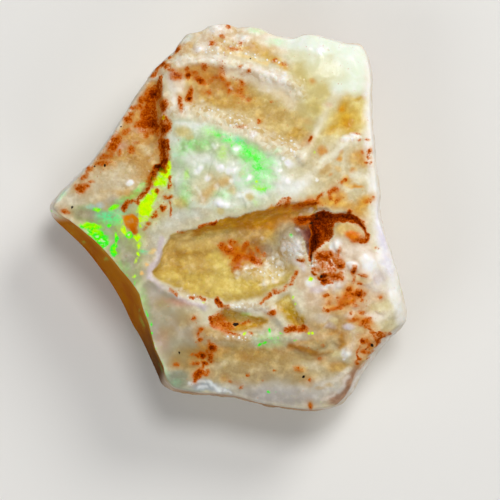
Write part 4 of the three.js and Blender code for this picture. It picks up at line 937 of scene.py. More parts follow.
# ----------------------------
# Rust.
# Iron from the seam has crept along the cracks and dried in the pits as orange-brown crusts. It is
# thickest in the pocket at the upper left and in the cleft, and it is dusted over the rest as specks.
# ----------------------------
# Cracks and edges that rust has crept along.
RUST_CRACKS = [
    (0.16, 0.9, [(-4.3, 6.7), (-4.5, 6), (-4.6, 5.3), (-4.45, 4.9), (-4.42, 4.2), (-4.55, 3.6)]),
    (0.1, 0.9, [(-4.35, 6.5), (-4.15, 5.9), (-4.2, 5.3), (-4.4, 4.9)]),
    (0.32, 0.85, [(-4.4, 6.6), (-4.3, 5.9), (-4.4, 5.2), (-4.35, 4.2), (-4.6, 3.5)]),
    (0.09, 0.85, [(-4.35, 4.9), (-4.05, 4.85), (-3.9, 4.65)]),
    (0.2, 1.1, [(-5, 3.4), (-4.75, 3.5), (-4.45, 3.3)]),
    (0.17, 0.85, [(-4.9, 3.4), (-5.1, 2.9), (-5.3, 2.4), (-5.45, 2.1)]),
    (0.3, 0.7, [(-4.9, 3.3), (-5.4, 2.3)]),
    (0.14, 0.85, [(-5.4, 2.1), (-5.6, 1.85), (-6, 1.35), (-6.35, 1)]),
    (0.16, 0.85, [(-6.25, 0.9), (-6.65, 1.05), (-7.05, 0.95), (-7.25, 0.6)]),
    (0.08, 0.9, [(-4, 5.4), (-3.95, 4.9), (-4.1, 4.3), (-4.25, 3.8)]),
    (0.08, 0.9, [(-4.7, 5.6), (-4.75, 4.8), (-4.6, 4.2)]), (0.09, 0.7, [(-4.9, 3.1), (-5.2, 2.7)]),
    (0.1, 0.7, [(-4, 2.9), (-3.95, 2.4), (-4.1, 2)]), (0.07, 0.65, [(-4.05, 1), (-3.9, 0.1)]),
    (0.1, 0.7, [(-4.35, 1.4), (-4.1, 1.2), (-3.8, 1.45)]),
    (0.1, 1.15, [(-1.95, -0.72), (-1.5, -0.56), (-0.9, -0.36)]),
    (0.26, 0.64, [
        (-0.5, -2), (-0.1, -2.25), (0.35, -2.35), (0.7, -2.6), (1.05, -2.75), (1.5, -2.85), (2, -3.1),
    ]),
    (0.22, 0.62, [(0.3, -1.8), (0.55, -2.1), (0.7, -2.5), (0.6, -3), (0.75, -3.4), (0.45, -3.7)]),
    (0.2, 0.6, [(1.3, -1.9), (1.1, -2.2), (1.05, -2.6), (0.85, -3.1)]),
    (0.14, 0.55, [(1.5, -2.3), (1.7, -2.6), (1.6, -3.1)]),
    (0.1, 0.48, [(0.2, -3.4), (0.6, -3.2), (1.2, -3.4)]), (0.1, 0.45, [(-0.9, -1.9), (-0.6, -2.2)]),
    (0.1, 0.55, [(-4.1, -5.05), (-3.5, -5.35)]), (0.1, 0.7, [(-2.6, -5.45), (-2, -5.5), (-1.7, -5.75)]),
    (0.16, 0.9, [(-0.75, -5.8), (-0.5, -6.05), (-0.1, -6.2), (0.1, -6.2)]),
    (0.12, 0.75, [(2.35, -5.95), (2.6, -5.6), (3.05, -5.25)]),
    (0.16, 0.7, [(3.3, -5.05), (3.7, -5.05), (4.35, -4.6)]),
    (0.12, 0.6, [(4.35, -4.6), (4.5, -4.2), (4.65, -3.8)]),
    (0.2, 0.62, [(-1.15, -7), (-1, -7.55), (-0.4, -7.75)]),
    (0.16, 0.45, [(0.3, -7.35), (1.3, -7.4), (2, -7.2)]),
    (0.2, 0.62, [(4.1, -7.7), (4.6, -7.8), (5.3, -7.65)]), (0.16, 0.5, [(3.3, 0.6), (3.7, 1), (4.1, 1.2)]),
    (0.12, 0.7, [(4.05, 0.9), (4.2, 1.25)]), (0.2, 0.6, [(4.5, 0.8), (5.2, 0.85), (6, 1)]),
    (0.12, 0.65, [(5.9, 0.95), (6.2, 1.3), (6.4, 1.5)]),
    (0.1, 0.9, [(8.9, -0.1), (9.35, -0.75), (9.65, -1.25), (9.6, -1.55), (9.1, -1.65)]),
    (0.14, 0.85, [(6.2, -2.75), (6.5, -2.4), (7.1, -2.35), (7.25, -2.75)]),
    (0.12, 0.9, [(6.5, -2.9), (6.9, -2.7)]),
    (0.12, 0.8, [(6.2, -4.1), (6.7, -4.4), (7.2, -4.25), (7.6, -4.25)]),
    (0.14, 0.5, [(7.8, -6), (8, -5.5), (8.4, -5.2), (8.5, -4.9)]),
    (0.12, 0.5, [(7, -6.4), (7.5, -6.45), (7.8, -6), (8.7, -5.9)]),
    (0.08, 0.7, [(9.9, -8.1), (10.2, -7.95), (10.7, -7.95), (10.8, -8.2), (10.3, -8.5)]),
    (0.08, 0.65, [(10.1, -8.2), (10.3, -8.6), (10.2, -8.9)]), (0.06, 0.6, [(10.9, -7.9), (11.3, -8.1)]),
    (0.08, 0.75, [(9.2, -8.6), (9.6, -8.5), (9.9, -8.8), (9.5, -9.1), (9.3, -9.3)]),
    (0.07, 0.7, [(9.05, -8.9), (9, -9.4), (9, -10)]), (0.07, 0.8, [(9.5, -9.85), (9.8, -9.8)]),
    (0.14, 0.45, [(9.2, -10.6), (10, -9.8), (11, -8.6)]),
]

# Crusts and specks.
RUST_PATCHES = [
    # the pocket and what has run out of it
    (-5.2, 8.6, 0.45, 0.35, 1.1, 30), (-5.2, 6.5, 0.45, 0.3, 1.15, -8), (-4.45, 7.65, 0.22, 0.4, 0.95),
    (-6.1, 6.35, 0.35, 0.22, 0.75), (-6.05, 8.2, 0.16, 0.22, 0.7), (-6.1, 7.75, 0.18, 0.15, 0.6),
    (-6.5, 7.7, 0.3, 0.09, 0.65, 10), (-6.65, 7.2, 0.22, 0.14, 0.65, 30), (-6.85, 6.75, 0.24, 0.24, 0.8),
    (-5.2, 5.9, 0.8, 0.2, 0.55), (-5.6, 5.7, 0.2, 0.25, 0.6), (-4.85, 6.1, 0.2, 0.4, 0.8),
    # the left facet
    (-7.7, 5.35, 0.34, 0.38, 0.72, -20), (-8, 4.95, 0.38, 0.3, 0.76, 30), (-8.35, 4.8, 0.2, 0.3, 0.5),
    (-8.5, 4.2, 0.45, 0.2, 0.6, 8), (-8.1, 4.3, 0.2, 0.3, 0.55), (-8.7, 3.72, 0.45, 0.16, 0.6, 5),
    (-9.6, 3.35, 0.28, 0.14, 0.65, 35), (-9.9, 2.85, 0.28, 0.16, 0.65, 35), (-10.2, 2.05, 0.32, 0.25, 0.8),
    (-9.8, 2.2, 0.18, 0.16, 0.66, 30), (-11.4, 0.45, 0.2, 0.12, 0.65, -20), (-11.1, 0.35, 0.12, 0.1, 0.6),
    (-6.6, 4.6, 0.28, 0.25, 0.55), (-7.5, 4.4, 0.14, 0.2, 0.55), (-7.1, 5.85, 0.14, 0.2, 0.65, -30),
    (-6.8, 6.05, 0.1, 0.15, 0.6), (-6.3, 5.1, 0.3, 0.1, 0.4), (-9.4, 2.5, 0.2, 0.07, 0.5),
    # the worn rim at the top left and the top
    (-3.5, 11.6, 0.14, 0.26, 0.85, -20), (-3.95, 11.15, 0.1, 0.14, 0.8), (-4.55, 10.6, 0.3, 0.17, 0.9, 45),
    (-4.9, 10.2, 0.22, 0.08, 0.8, 50), (-4.2, 10.35, 0.26, 0.12, 0.7, 20),
    (-3.9, 10.1, 0.28, 0.1, 0.6, -15), (-5.2, 9.85, 0.3, 0.06, 0.7, 50), (-3.55, 9.7, 0.36, 0.3, 0.7),
    (-2.9, 10.25, 0.13, 0.13, 0.75), (-2.75, 9.8, 0.18, 0.2, 1.1, -40), (-2.3, 10, 0.22, 0.09, 0.7),
    (-1.95, 9.5, 0.3, 0.18, 0.95, -25), (-2.7, 8.5, 0.12, 0.35, 0.95, -15), (-2.7, 8.2, 0.16, 0.16, 1.15),
    (-3.25, 7.9, 0.1, 0.45, 0.75, 5), (-3.35, 8.2, 0.08, 0.15, 0.65), (-1.1, 12.05, 0.22, 0.18, 0.6),
    (-1.6, 10.35, 0.2, 0.2, 0.6), (-0.45, 10.2, 0.26, 0.5, 0.42, 5), (-0.4, 9.6, 0.3, 0.22, 0.45),
    (0, 9.25, 0.16, 0.2, 0.6), (0.05, 8.75, 0.14, 0.22, 0.5), (1, 9.2, 0.14, 0.16, 0.62, 20),
    (0.75, 8.7, 0.36, 0.3, 0.4), (0.95, 8.3, 0.2, 0.2, 0.4), (1.45, 8.05, 0.16, 0.14, 0.5),
    (2.2, 6.55, 0.2, 0.14, 0.6, -15), (-0.35, 12.5, 0.13, 0.11, 0.62), (0.05, 13.22, 0.12, 0.08, 0.7),
    (0.8, 12.1, 0.12, 0.1, 0.5), (1.45, 10, 0.12, 0.1, 0.65), (0.9, 10.4, 0.12, 0.1, 0.55),
    (3.25, 10.72, 0.12, 0.09, 0.55), (3.95, 10.6, 0.26, 0.06, 0.45, -15), (0.4, 11.6, 0.4, 0.14, 0.5),
    (-0.9, 9.6, 0.5, 0.2, 0.45, 20), (-1.4, 8.7, 0.2, 0.14, 0.5), (3.1, 8.05, 0.14, 0.08, 0.45),
    (0.9, 6.3, 0.4, 0.14, 0.42),
    # the upper and middle right
    (5.6, 5.35, 0.08, 0.18, 0.85, -15), (9.3, 4.5, 0.1, 0.07, 0.6, -30), (9.72, 4.2, 0.07, 0.12, 0.65, 20),
    (9.5, 3.8, 0.1, 0.08, 0.6), (9.9, 3.8, 0.06, 0.06, 0.7), (9.85, 4.55, 0.07, 0.1, 0.7),
    (9.65, 5.3, 0.14, 0.07, 0.55), (8.07, 2.5, 0.12, 0.08, 0.7, 30), (7.85, 2.35, 0.14, 0.08, 0.55, 30),
    (7.35, 1.8, 0.24, 0.14, 0.72, 30), (7.05, 1.62, 0.16, 0.1, 0.6, -20), (7.1, 1.35, 0.1, 0.1, 0.7),
    (7.5, 1.1, 0.3, 0.2, 0.42, 30), (9.75, 1.1, 0.3, 0.16, 0.45, 15), (10.1, 1.3, 0.07, 0.07, 0.6),
    (6.4, 1.5, 0.12, 0.12, 0.55), (8.9, 5.68, 0.3, 0.05, 0.5, -5), (9.15, 5.25, 0.1, 0.05, 0.5),
    # beside the yellow flashes
    (-4.48, 0.55, 0.12, 0.16, 0.85, 20), (-4.95, 0.2, 0.1, 0.16, 0.8, -30), (-5.15, 0.05, 0.14, 0.08, 0.7),
    (-4.88, 1.72, 0.1, 0.13, 1.05), (-5.4, -0.42, 0.16, 0.1, 0.6, -20), (-5.65, -0.75, 0.2, 0.1, 0.48, 40),
    (-4.2, 1.3, 0.12, 0.16, 0.72), (-4, 2.1, 0.08, 0.2, 0.6, -20),
    # the hollow
    (2.05, -2.3, 0.08, 0.14, 0.6, 30), (-0.45, -2, 0.1, 0.1, 0.5), (-3.3, -0.95, 0.3, 0.07, 0.4, 10),
    (5, -3, 0.24, 0.12, 0.9, 10), (0.1, -2.8, 0.1, 0.1, 0.45), (2.5, -2.6, 0.2, 0.1, 0.4, -20),
    # the band above the cleft
    (5.85, 0.95, 0.35, 0.12, 0.75, 5), (4.85, 0.85, 0.4, 0.14, 0.62), (3.9, 0.75, 0.3, 0.12, 0.45, 10),
    # the cleft
    (5.1, -0.25, 0.5, 0.18, 1.05, -5), (8.9, -0.3, 0.3, 0.2, 0.8, -40), (9.1, -1.5, 0.4, 0.12, 0.7),
    (9.3, -0.6, 0.12, 0.3, 0.8, 30), (8.45, 0.25, 0.1, 0.16, 0.9),
    # the right shoulder
    (6.35, -2.6, 0.2, 0.16, 0.85), (7.1, -2.45, 0.22, 0.18, 0.95), (6.7, -2.75, 0.42, 0.22, 0.95, 20),
    (6.95, -3.6, 0.5, 0.2, 0.45, -10), (7.65, -3.1, 0.2, 0.4, 0.5, 20), (6.4, -3.2, 0.3, 0.3, 0.42),
    (6.56, -3.35, 0.2, 0.1, 0.75), (7.1, -3.3, 0.16, 0.12, 0.7), (7.7, -3.37, 0.2, 0.18, 1, 30),
    (7.4, -2.98, 0.1, 0.22, 0.75), (6.95, -3.05, 0.1, 0.1, 0.8), (6.3, -3, 0.1, 0.16, 0.6),
    (7.62, -2.45, 0.08, 0.4, 0.55, -10), (7.9, -3.2, 0.1, 0.1, 0.6), (8.68, -3.68, 0.13, 0.18, 0.9),
    (6.56, -4, 0.2, 0.16, 1.2), (6.95, -3.95, 0.22, 0.14, 0.8), (7.4, -4.2, 0.4, 0.2, 0.95, -10),
    (7.7, -4, 0.16, 0.14, 0.7), (6.9, -4.5, 0.3, 0.1, 0.7, -10), (6.6, -4.45, 0.18, 0.12, 0.85),
    (5.9, -3.85, 0.1, 0.1, 0.78), (8.8, -4.3, 0.1, 0.3, 0.5, -10), (10.2, -2.2, 0.16, 0.12, 0.42),
    (6.2, -3.6, 0.12, 0.1, 0.6), (7.3, -3.65, 0.1, 0.08, 0.7), (5.95, -3.55, 0.14, 0.08, 0.6),
    (7.85, -4.3, 0.12, 0.12, 0.7), (9.3, -3.9, 0.2, 0.08, 0.6, -20), (9.15, -4.6, 0.1, 0.1, 0.7),
    (9, -5.35, 0.2, 0.24, 1.15, -30), (8.4, -5, 0.14, 0.14, 0.9, 20), (8.2, -5.4, 0.35, 0.16, 0.48, 40),
    (7.9, -5.8, 0.3, 0.12, 0.45, 30), (8.4, -5.9, 0.3, 0.14, 0.4, 20), (7.3, -6.4, 0.35, 0.12, 0.5, -5),
    (6.9, -6.5, 0.12, 0.1, 0.9), (7.7, -6.3, 0.25, 0.14, 0.5, 20), (8.8, -6.2, 0.25, 0.12, 0.45),
    (6.6, -6.4, 0.1, 0.2, 0.42, -20), (8.6, -5.4, 0.12, 0.12, 0.8), (8, -6.1, 0.1, 0.08, 0.7),
    (7.6, -5.5, 0.1, 0.1, 0.5), (6.75, -5.4, 0.2, 0.08, 0.7, 20), (7, -5.9, 0.2, 0.15, 0.45, 40),
    (9.4, -5.35, 0.1, 0.14, 0.66), (9.2, -5.75, 0.09, 0.1, 0.7), (9.25, -6.6, 0.16, 0.12, 0.7, 20),
    (8.7, -7.1, 0.3, 0.1, 0.62, 10), (9.4, -7.35, 0.28, 0.2, 0.7, 10), (9.75, -7.05, 0.12, 0.1, 0.6),
    (9.9, -7.8, 0.3, 0.08, 0.58, -30), (10.5, -5.4, 0.12, 0.08, 0.68), (8.5, -6.7, 0.1, 0.1, 0.6),
    (9.55, -7.7, 0.14, 0.08, 0.6, -40), (9.35, -8.6, 0.2, 0.13, 0.75), (9.7, -8.8, 0.12, 0.1, 0.8),
    (10.55, -8.1, 0.3, 0.1, 0.75, 10), (10.35, -8.5, 0.12, 0.2, 0.6, 20), (10.9, -8.2, 0.14, 0.1, 0.7),
    (11.3, -8.1, 0.14, 0.08, 0.75), (9.3, -9.3, 0.1, 0.12, 0.7), (9.6, -9.4, 0.14, 0.06, 0.6),
    (9.95, -9.3, 0.07, 0.07, 0.6), (8.9, -10.2, 0.1, 0.1, 0.85), (9.1, -9.9, 0.07, 0.1, 0.7),
    # the pits and the lower slope
    (-0.6, -7, 0.4, 0.5, 0.55), (-0.1, -7.5, 0.5, 0.22, 0.62, -15), (3.1, -6.62, 0.16, 0.13, 0.92, 30),
    (4.5, -7.7, 0.3, 0.13, 0.9, -5), (5.1, -7.75, 0.2, 0.1, 0.82), (0.35, -8.05, 0.35, 0.06, 0.6, -10),
    (1.6, -8.15, 0.2, 0.08, 0.5), (-1.85, -7.85, 0.22, 0.13, 0.82, 30), (-2.1, -8.1, 0.08, 0.1, 0.66),
    (-1.9, -8.48, 0.15, 0.1, 0.85), (-1.05, -8.95, 0.26, 0.2, 1.1, -15), (-0.85, -9.05, 0.1, 0.15, 0.8),
    (-1.8, -9.5, 0.2, 0.18, 1.15), (-2.15, -9.68, 0.13, 0.08, 0.85), (-1.2, -9.6, 0.16, 0.28, 0.92, -10),
    (-1.4, -9.3, 0.1, 0.1, 0.7), (-2.25, -10.1, 0.24, 0.07, 0.8), (-1.6, -10.15, 0.2, 0.09, 1, -10),
    (-1.15, -9.9, 0.2, 0.1, 0.65), (-1.7, -10.35, 0.06, 0.1, 0.8), (-2, -10.85, 0.32, 0.26, 0.95, 35),
    (-1.6, -10.95, 0.24, 0.08, 0.75), (-1.95, -10.6, 0.1, 0.14, 0.8), (-2.2, -11.2, 0.12, 0.2, 0.7, -30),
    (-1.35, -10.7, 0.09, 0.09, 0.7), (-2.35, -7.1, 0.13, 0.16, 0.58), (-2.5, -9.6, 0.15, 0.1, 0.45),
    (6.4, -9.75, 0.14, 0.13, 0.56), (5.6, -11.32, 0.09, 0.08, 0.68), (3.25, -10.6, 0.1, 0.09, 0.52),
    (4.8, -10.6, 0.28, 0.1, 0.5, -8), (1.4, -10.95, 0.12, 0.09, 0.5), (5.8, -13.15, 0.14, 0.12, 0.62),
    (0.2, -11.4, 0.1, 0.1, 0.5), (-1.3, -8.6, 0.1, 0.08, 0.5), (6.5, -8.75, 0.12, 0.07, 0.5),
    (2.4, -11.3, 0.08, 0.07, 0.45), (-3.6, -10.15, 0.12, 0.1, 0.62), (0.9, -11.8, 0.14, 0.1, 0.45),
]

# Rust all over the cleft and the pocket, darker in the cleft's deepest folds, where the dark is partly
# painted shade.
IN_CLEFT = ([
    (4.9, -0.2, 3), (5.5, 0.05, 3), (6.05, 0.35, 3), (6.57, 0.7, 3), (7, 0.4, 3), (7.45, 0.34, 3),
    (8.2, 0.2, 3), (8.45, 0.4, 3), (8.75, 0.1, 3), (9.2, -0.4, 3), (9.5, -0.95, 3), (9.7, -1.35, 3),
    (9.55, -1.65, 3), (9.25, -1.1, 3), (8.9, -0.6, 3), (8.3, -0.5, 3), (7.45, -0.55, 3), (7.25, -0.9, 3),
    (7.3, -1.25, 3), (7.1, -1.6, 3), (6.55, -1.9, 3), (6.1, -2.45, 3), (5.7, -3.25, 3), (5.55, -2.7, 3),
    (5.7, -1.9, 3), (5.7, -1.1, 3), (5.55, -0.4, 3),
], 1)
IN_POCKET = ([
    (-4.92, 9.9, 3), (-4.6, 9.95, 3), (-4.45, 9.3, 3), (-4.33, 8.8, 3), (-4.45, 8.3, 3), (-4.85, 7.85, 3),
    (-4.9, 7.4, 3), (-4.88, 6.8, 3), (-4.7, 6.3, 3), (-5.3, 6.15, 3), (-6, 6, 3), (-6.4, 6.3, 3),
    (-6.1, 6.95, 3), (-6.1, 7.4, 3), (-5.8, 8, 3), (-6.1, 8.25, 3), (-5.7, 8.7, 3), (-5.3, 9.05, 3),
    (-5.07, 9.5, 3),
], 1)
DARK_IN_CLEFT = [
    (5.85, -1.3, 0.35, 1.2, 1), (6.2, -0.3, 0.45, 0.5, 0.7), (5.7, -2.5, 0.25, 0.8, 1),
    (6.6, 0.3, 0.3, 0.3, 0.6), (8.3, 0, 0.5, 0.2, 0.5), (7.1, 0.1, 0.3, 0.2, 0.4),
]
RUST_CREEP = 0.04
OCHRE_LENGTH, OCHRE_WIDTH = 0.25, 0.22
THICK_RUST = 0.55


def grown(ovals, more_length, more_width):
    return [(x, y, length + more_length, width + more_width, *rest) for x, y, length, width, *rest in ovals]


broken_up = 0.85 + 0.5 * rough(skin, 0.55, 77)
rust = patches(grown(RUST_PATCHES, RUST_CREEP, RUST_CREEP), 1)
rust = np.maximum(rust, strokes(RUST_CRACKS, 1) * broken_up)
rust = np.maximum(rust, (0.8 + 0.5 * patches(DARK_IN_CLEFT, 0.8)) * inside_hollow(IN_CLEFT, 0.35))
rust = np.maximum(rust, 0.7 * inside_hollow(IN_POCKET, 0.5))
thick_patches = [patch for patch in RUST_PATCHES if patch[STRENGTH] > THICK_RUST]
lay((206, 136, 46), 0.55 * patches(grown(thick_patches, OCHRE_LENGTH, OCHRE_WIDTH), 1))
stain((206, 128, 20), 0.8, [
    (5.6, 0.9, 1, 0.3, 0.9, 5), (4.4, 0.75, 1.1, 0.3, 0.8, 10), (3.4, 0.6, 0.9, 0.2, 0.6, 8),
    (-5.3, 7.4, 0.9, 1.4, 0.6, 10), (-4.5, 4.6, 0.5, 1.2, 0.6), (-5.2, 2.7, 0.4, 0.7, 0.5, -20),
    (-4.6, 10.4, 0.7, 0.3, 0.6, 45), (9.9, -8.9, 0.9, 0.7, 0.5, 30),
])
stain((214, 160, 60), 0.8, [
    (6.8, 1.05, 0.8, 0.3, 0.8), (7.9, 0.75, 1, 0.3, 0.8), (9.3, 0.9, 0.9, 0.35, 0.8, 40),
    (9, 0.4, 0.3, 0.3, 0.7),
])
stain((228, 154, 44), 1, [
    (8.2, -5.7, 0.9, 0.6, 0.9, 30), (7.3, -6.2, 0.7, 0.25, 0.8, -10), (9.3, -7.2, 0.8, 0.35, 0.8, -20),
    (7, -5.6, 0.4, 0.5, 0.6), (8.4, -5, 0.4, 0.4, 0.7), (7, -5, 0.3, 0.3, 0.3),
])
stain((224, 126, 0), 0.8, [
    (8.3, -5.65, 0.55, 0.4, 0.95, 30), (7.7, -6.25, 0.5, 0.14, 0.8, 15), (9.5, -7.3, 0.4, 0.2, 0.7),
])

# Fine rust dust: how thickly it is strewn.
dust = patches([
    (-8.4, 4.6, 1, 3.4, 0.8, -36), (-5.6, 7.3, 1.1, 2.2, 0.9, 5), (-4.5, 4.6, 0.5, 1.5, 1),
    (-4.6, 10.3, 1.2, 0.5, 1, 45), (-3.4, 11.4, 0.5, 0.8, 0.9, -30), (-1.6, 9.6, 2, 1.1, 0.6),
    (0.3, 8.8, 1.3, 1.3, 0.7), (-0.4, 12, 1.6, 0.9, 0.55), (9.6, 4, 0.6, 0.8, 0.7), (7.6, 1.7, 1, 0.8, 0.6),
    (-4.6, 0.9, 0.8, 1.3, 0.6), (1, -2.6, 1.4, 0.9, 0.15, -20), (6.8, -3.1, 1.1, 0.7, 1),
    (7, -4.1, 1, 0.4, 0.8), (8, -5.7, 1.3, 0.9, 0.7, 20), (9.4, -6.8, 0.9, 1.1, 0.8),
    (10, -8.8, 1, 1, 1, 40), (5.2, -3, 0.4, 0.3, 0.8), (9.3, -1.2, 0.5, 0.7, 0.8, 20),
    (-1.7, -9.4, 0.7, 1.8, 0.8), (-0.2, -7.4, 1.1, 0.6, 0.8), (2.9, -5.6, 1, 0.5, 0.5, 40),
    (-3, -5.4, 1.3, 0.25, 0.8, -15), (4.8, -7.8, 0.9, 0.3, 0.8), (5.6, -9.1, 1.4, 0.4, 0.5),
    (3.2, 0.4, 2, 0.4, 0.6, 10), (6.2, 0.9, 0.9, 0.4, 0.9), (8.6, -1, 0.9, 0.6, 0.5),
    (2.4, -6.2, 1, 0.4, 0.4),
], 0.6)

# Black specks of manganese.
SOOT_SPECKS = [
    (0.5, -7.38, 0.22, 0.09, 1, 5), (-7.35, 6.22, 0.08, 0.07, 0.8), (-9.2, 3.57, 0.07, 0.07, 0.8),
    (-8.5, 3.55, 0.08, 0.12, 0.8), (-8.1, 1.8, 0.06, 0.08, 0.6), (-10.85, 0.7, 0.13, 0.12, 0.7),
    (-3.4, -9.42, 0.09, 0.08, 0.9), (5.2, -11.05, 0.08, 0.07, 0.9), (9.87, -8.85, 0.13, 0.11, 1),
    (9.45, -9.12, 0.06, 0.06, 0.8), (5.7, -0.4, 0.14, 0.12, 0.6), (6.35, -4.02, 0.14, 0.1, 0.8),
    (1.5, 10.88, 0.11, 0.07, 0.8), (6.1, 0.1, 0.3, 0.4, 0.5), (5.8, -3.2, 0.1, 0.1, 0.7),
    (-1.6, -11.85, 0.06, 0.05, 0.6), (4.6, -11.3, 0.05, 0.05, 0.5),
]
soot = patches(SOOT_SPECKS, 0.7)


# ----------------------------
# The play of colour.
# Where the opal is clear its tiny silica spheres stack evenly and throw back pure green. It shows as
# sharp patches in the left corner, and as a soft glow under the milky skin of the table.
# ----------------------------
YELLOW_FLASH, GREEN_FLASH, SEA_FLASH = 0.0, 0.5, 1.0
SHARP_FIRE = {
    YELLOW_FLASH: [
        (-5.7, 0.6, 0.5, 0.62, 1.2, -20), (-5.4, 1.15, 0.4, 0.4, 1.1), (-5.1, 1.6, 0.25, 0.35, 0.8, -10),
        (-9.05, 0.52, 0.4, 0.14, 0.72), (-7.85, 0.65, 0.38, 0.16, 0.72, 30), (-9.6, -0.55, 0.7, 0.2, 1, -8),
        (-9.2, -1.05, 0.4, 0.2, 0.85, -20), (-7.15, -0.95, 0.2, 0.32, 0.85, 20),
        (-6.2, -0.2, 0.28, 0.26, 0.95), (-4.6, 2.45, 0.55, 0.35, 0.8), (-4.27, 3, 0.28, 0.35, 1.05),
        (-4.12, 3.5, 0.16, 0.35, 0.95, -5), (-4.9, 2.3, 0.2, 0.2, 1), (-5.9, -0.1, 0.5, 0.3, 0.7, 20),
        (-6.2, -0.3, 0.2, 0.22, 0.95), (-6.2, -1.48, 0.26, 0.24, 0.9), (-6.1, -2.05, 0.18, 0.25, 0.75),
        (-6.15, -2.6, 0.16, 0.16, 0.75), (-6.4, -3, 0.1, 0.3, 0.55, -30), (-6.5, -4.05, 0.15, 0.15, 0.62),
        (-4.45, 6.85, 0.12, 0.11, 1), (5.65, -4.32, 0.16, 0.12, 0.95), (4.5, -5.5, 0.1, 0.12, 0.7),
        (4.7, -5.95, 0.1, 0.12, 0.62), (1.15, -8.1, 0.13, 0.09, 0.85), (5.5, -7.95, 0.12, 0.12, 0.85),
        (5.78, -7.97, 0.13, 0.12, 1.05), (-1.8, -5.95, 0.1, 0.08, 0.62), (-7.1, -0.8, 0.14, 0.3, 0.85, 20),
        (-7.3, -0.3, 0.08, 0.35, 0.55), (2, 2.45, 0.12, 0.12, 0.8), (-6, -0.6, 0.12, 0.3, 0.55, 10),
        (6, 4.45, 0.08, 0.12, 0.5), (2.25, 2.05, 0.4, 0.12, 0.55),
    ],
    GREEN_FLASH: [
        (-9.5, -0.65, 0.75, 0.26, 1, -10), (-10.2, -0.5, 0.3, 0.12, 0.8, -20),
        (-9, -1.35, 0.66, 0.34, 1.2, -28), (-8.75, -1.8, 0.46, 0.36, 1.2, -20),
        (-9.5, -1.15, 0.4, 0.16, 1, -40), (-7.73, -1.5, 0.12, 0.45, 1, -6),
        (-7.85, -2.25, 0.2, 0.4, 1.2, -5), (-8.15, -0.62, 0.2, 0.14, 0.85), (-6.85, -1.3, 0.28, 0.28, 1.1),
        (-9.05, 0.52, 0.4, 0.14, 0.8), (-7.85, 0.65, 0.38, 0.16, 0.8, 30), (-9.9, -0.6, 0.5, 0.2, 0.8, -20),
        (-6.4, -4.6, 0.06, 0.2, 0.5, 10), (-6, -5.72, 0.1, 0.12, 0.62),
        (-5.65, -6.65, 0.07, 0.25, 0.62, 10), (-5.4, -7.4, 0.06, 0.2, 0.6, 10),
        (-5.3, -7.95, 0.09, 0.12, 0.95), (-5.18, -8.68, 0.08, 0.08, 0.75), (-5.05, -9.05, 0.06, 0.1, 0.55),
        (-4.87, -9.35, 0.06, 0.08, 0.6), (-4.55, -10.08, 0.08, 0.1, 0.55), (2.25, -8.82, 0.2, 0.1, 0.85),
        (2.6, -8.65, 0.2, 0.12, 0.85, 20), (2.8, -7.85, 0.1, 0.18, 0.85), (2.95, -8.3, 0.1, 0.1, 0.65),
        (3.7, -7.92, 0.12, 0.08, 0.65), (3.45, -8.32, 0.1, 0.1, 0.7), (4.72, -8.6, 0.14, 0.09, 0.68),
        (2.85, -12.25, 0.11, 0.08, 0.85), (4.4, -1.25, 0.14, 0.13, 0.5), (0.3, 4.84, 0.14, 0.12, 0.6),
        (1.5, 4.4, 0.45, 0.35, 0.5, -40), (1.95, 3.95, 0.4, 0.3, 0.44, -40),
        (0.05, 5.3, 0.36, 0.24, 0.44, -20), (0.95, 5.05, 0.34, 0.22, 0.42, -20),
        (2.05, 3.4, 0.35, 0.3, 0.38), (2.35, 2.05, 0.5, 0.2, 0.4), (-0.7, 5.7, 0.3, 0.14, 0.36, -20),
        (-4.9, 2.2, 0.12, 0.1, 0.8), (-6.9, -4, 0.1, 0.1, 0.4),
    ],
    SEA_FLASH: [
        (-8.4, 0, 0.3, 0.2, 0.42, -20), (-8.3, -2.7, 0.14, 0.1, 0.8), (-8.05, -3.05, 0.1, 0.08, 0.62),
        (-7.85, -3.25, 0.12, 0.08, 0.8), (-8.5, -2.5, 0.08, 0.1, 0.5), (-0.1, 5.3, 0.3, 0.18, 0.5),
        (3.4, -12.15, 0.08, 0.08, 0.5), (-5.8, -2.35, 0.2, 0.08, 0.5),
    ],
}
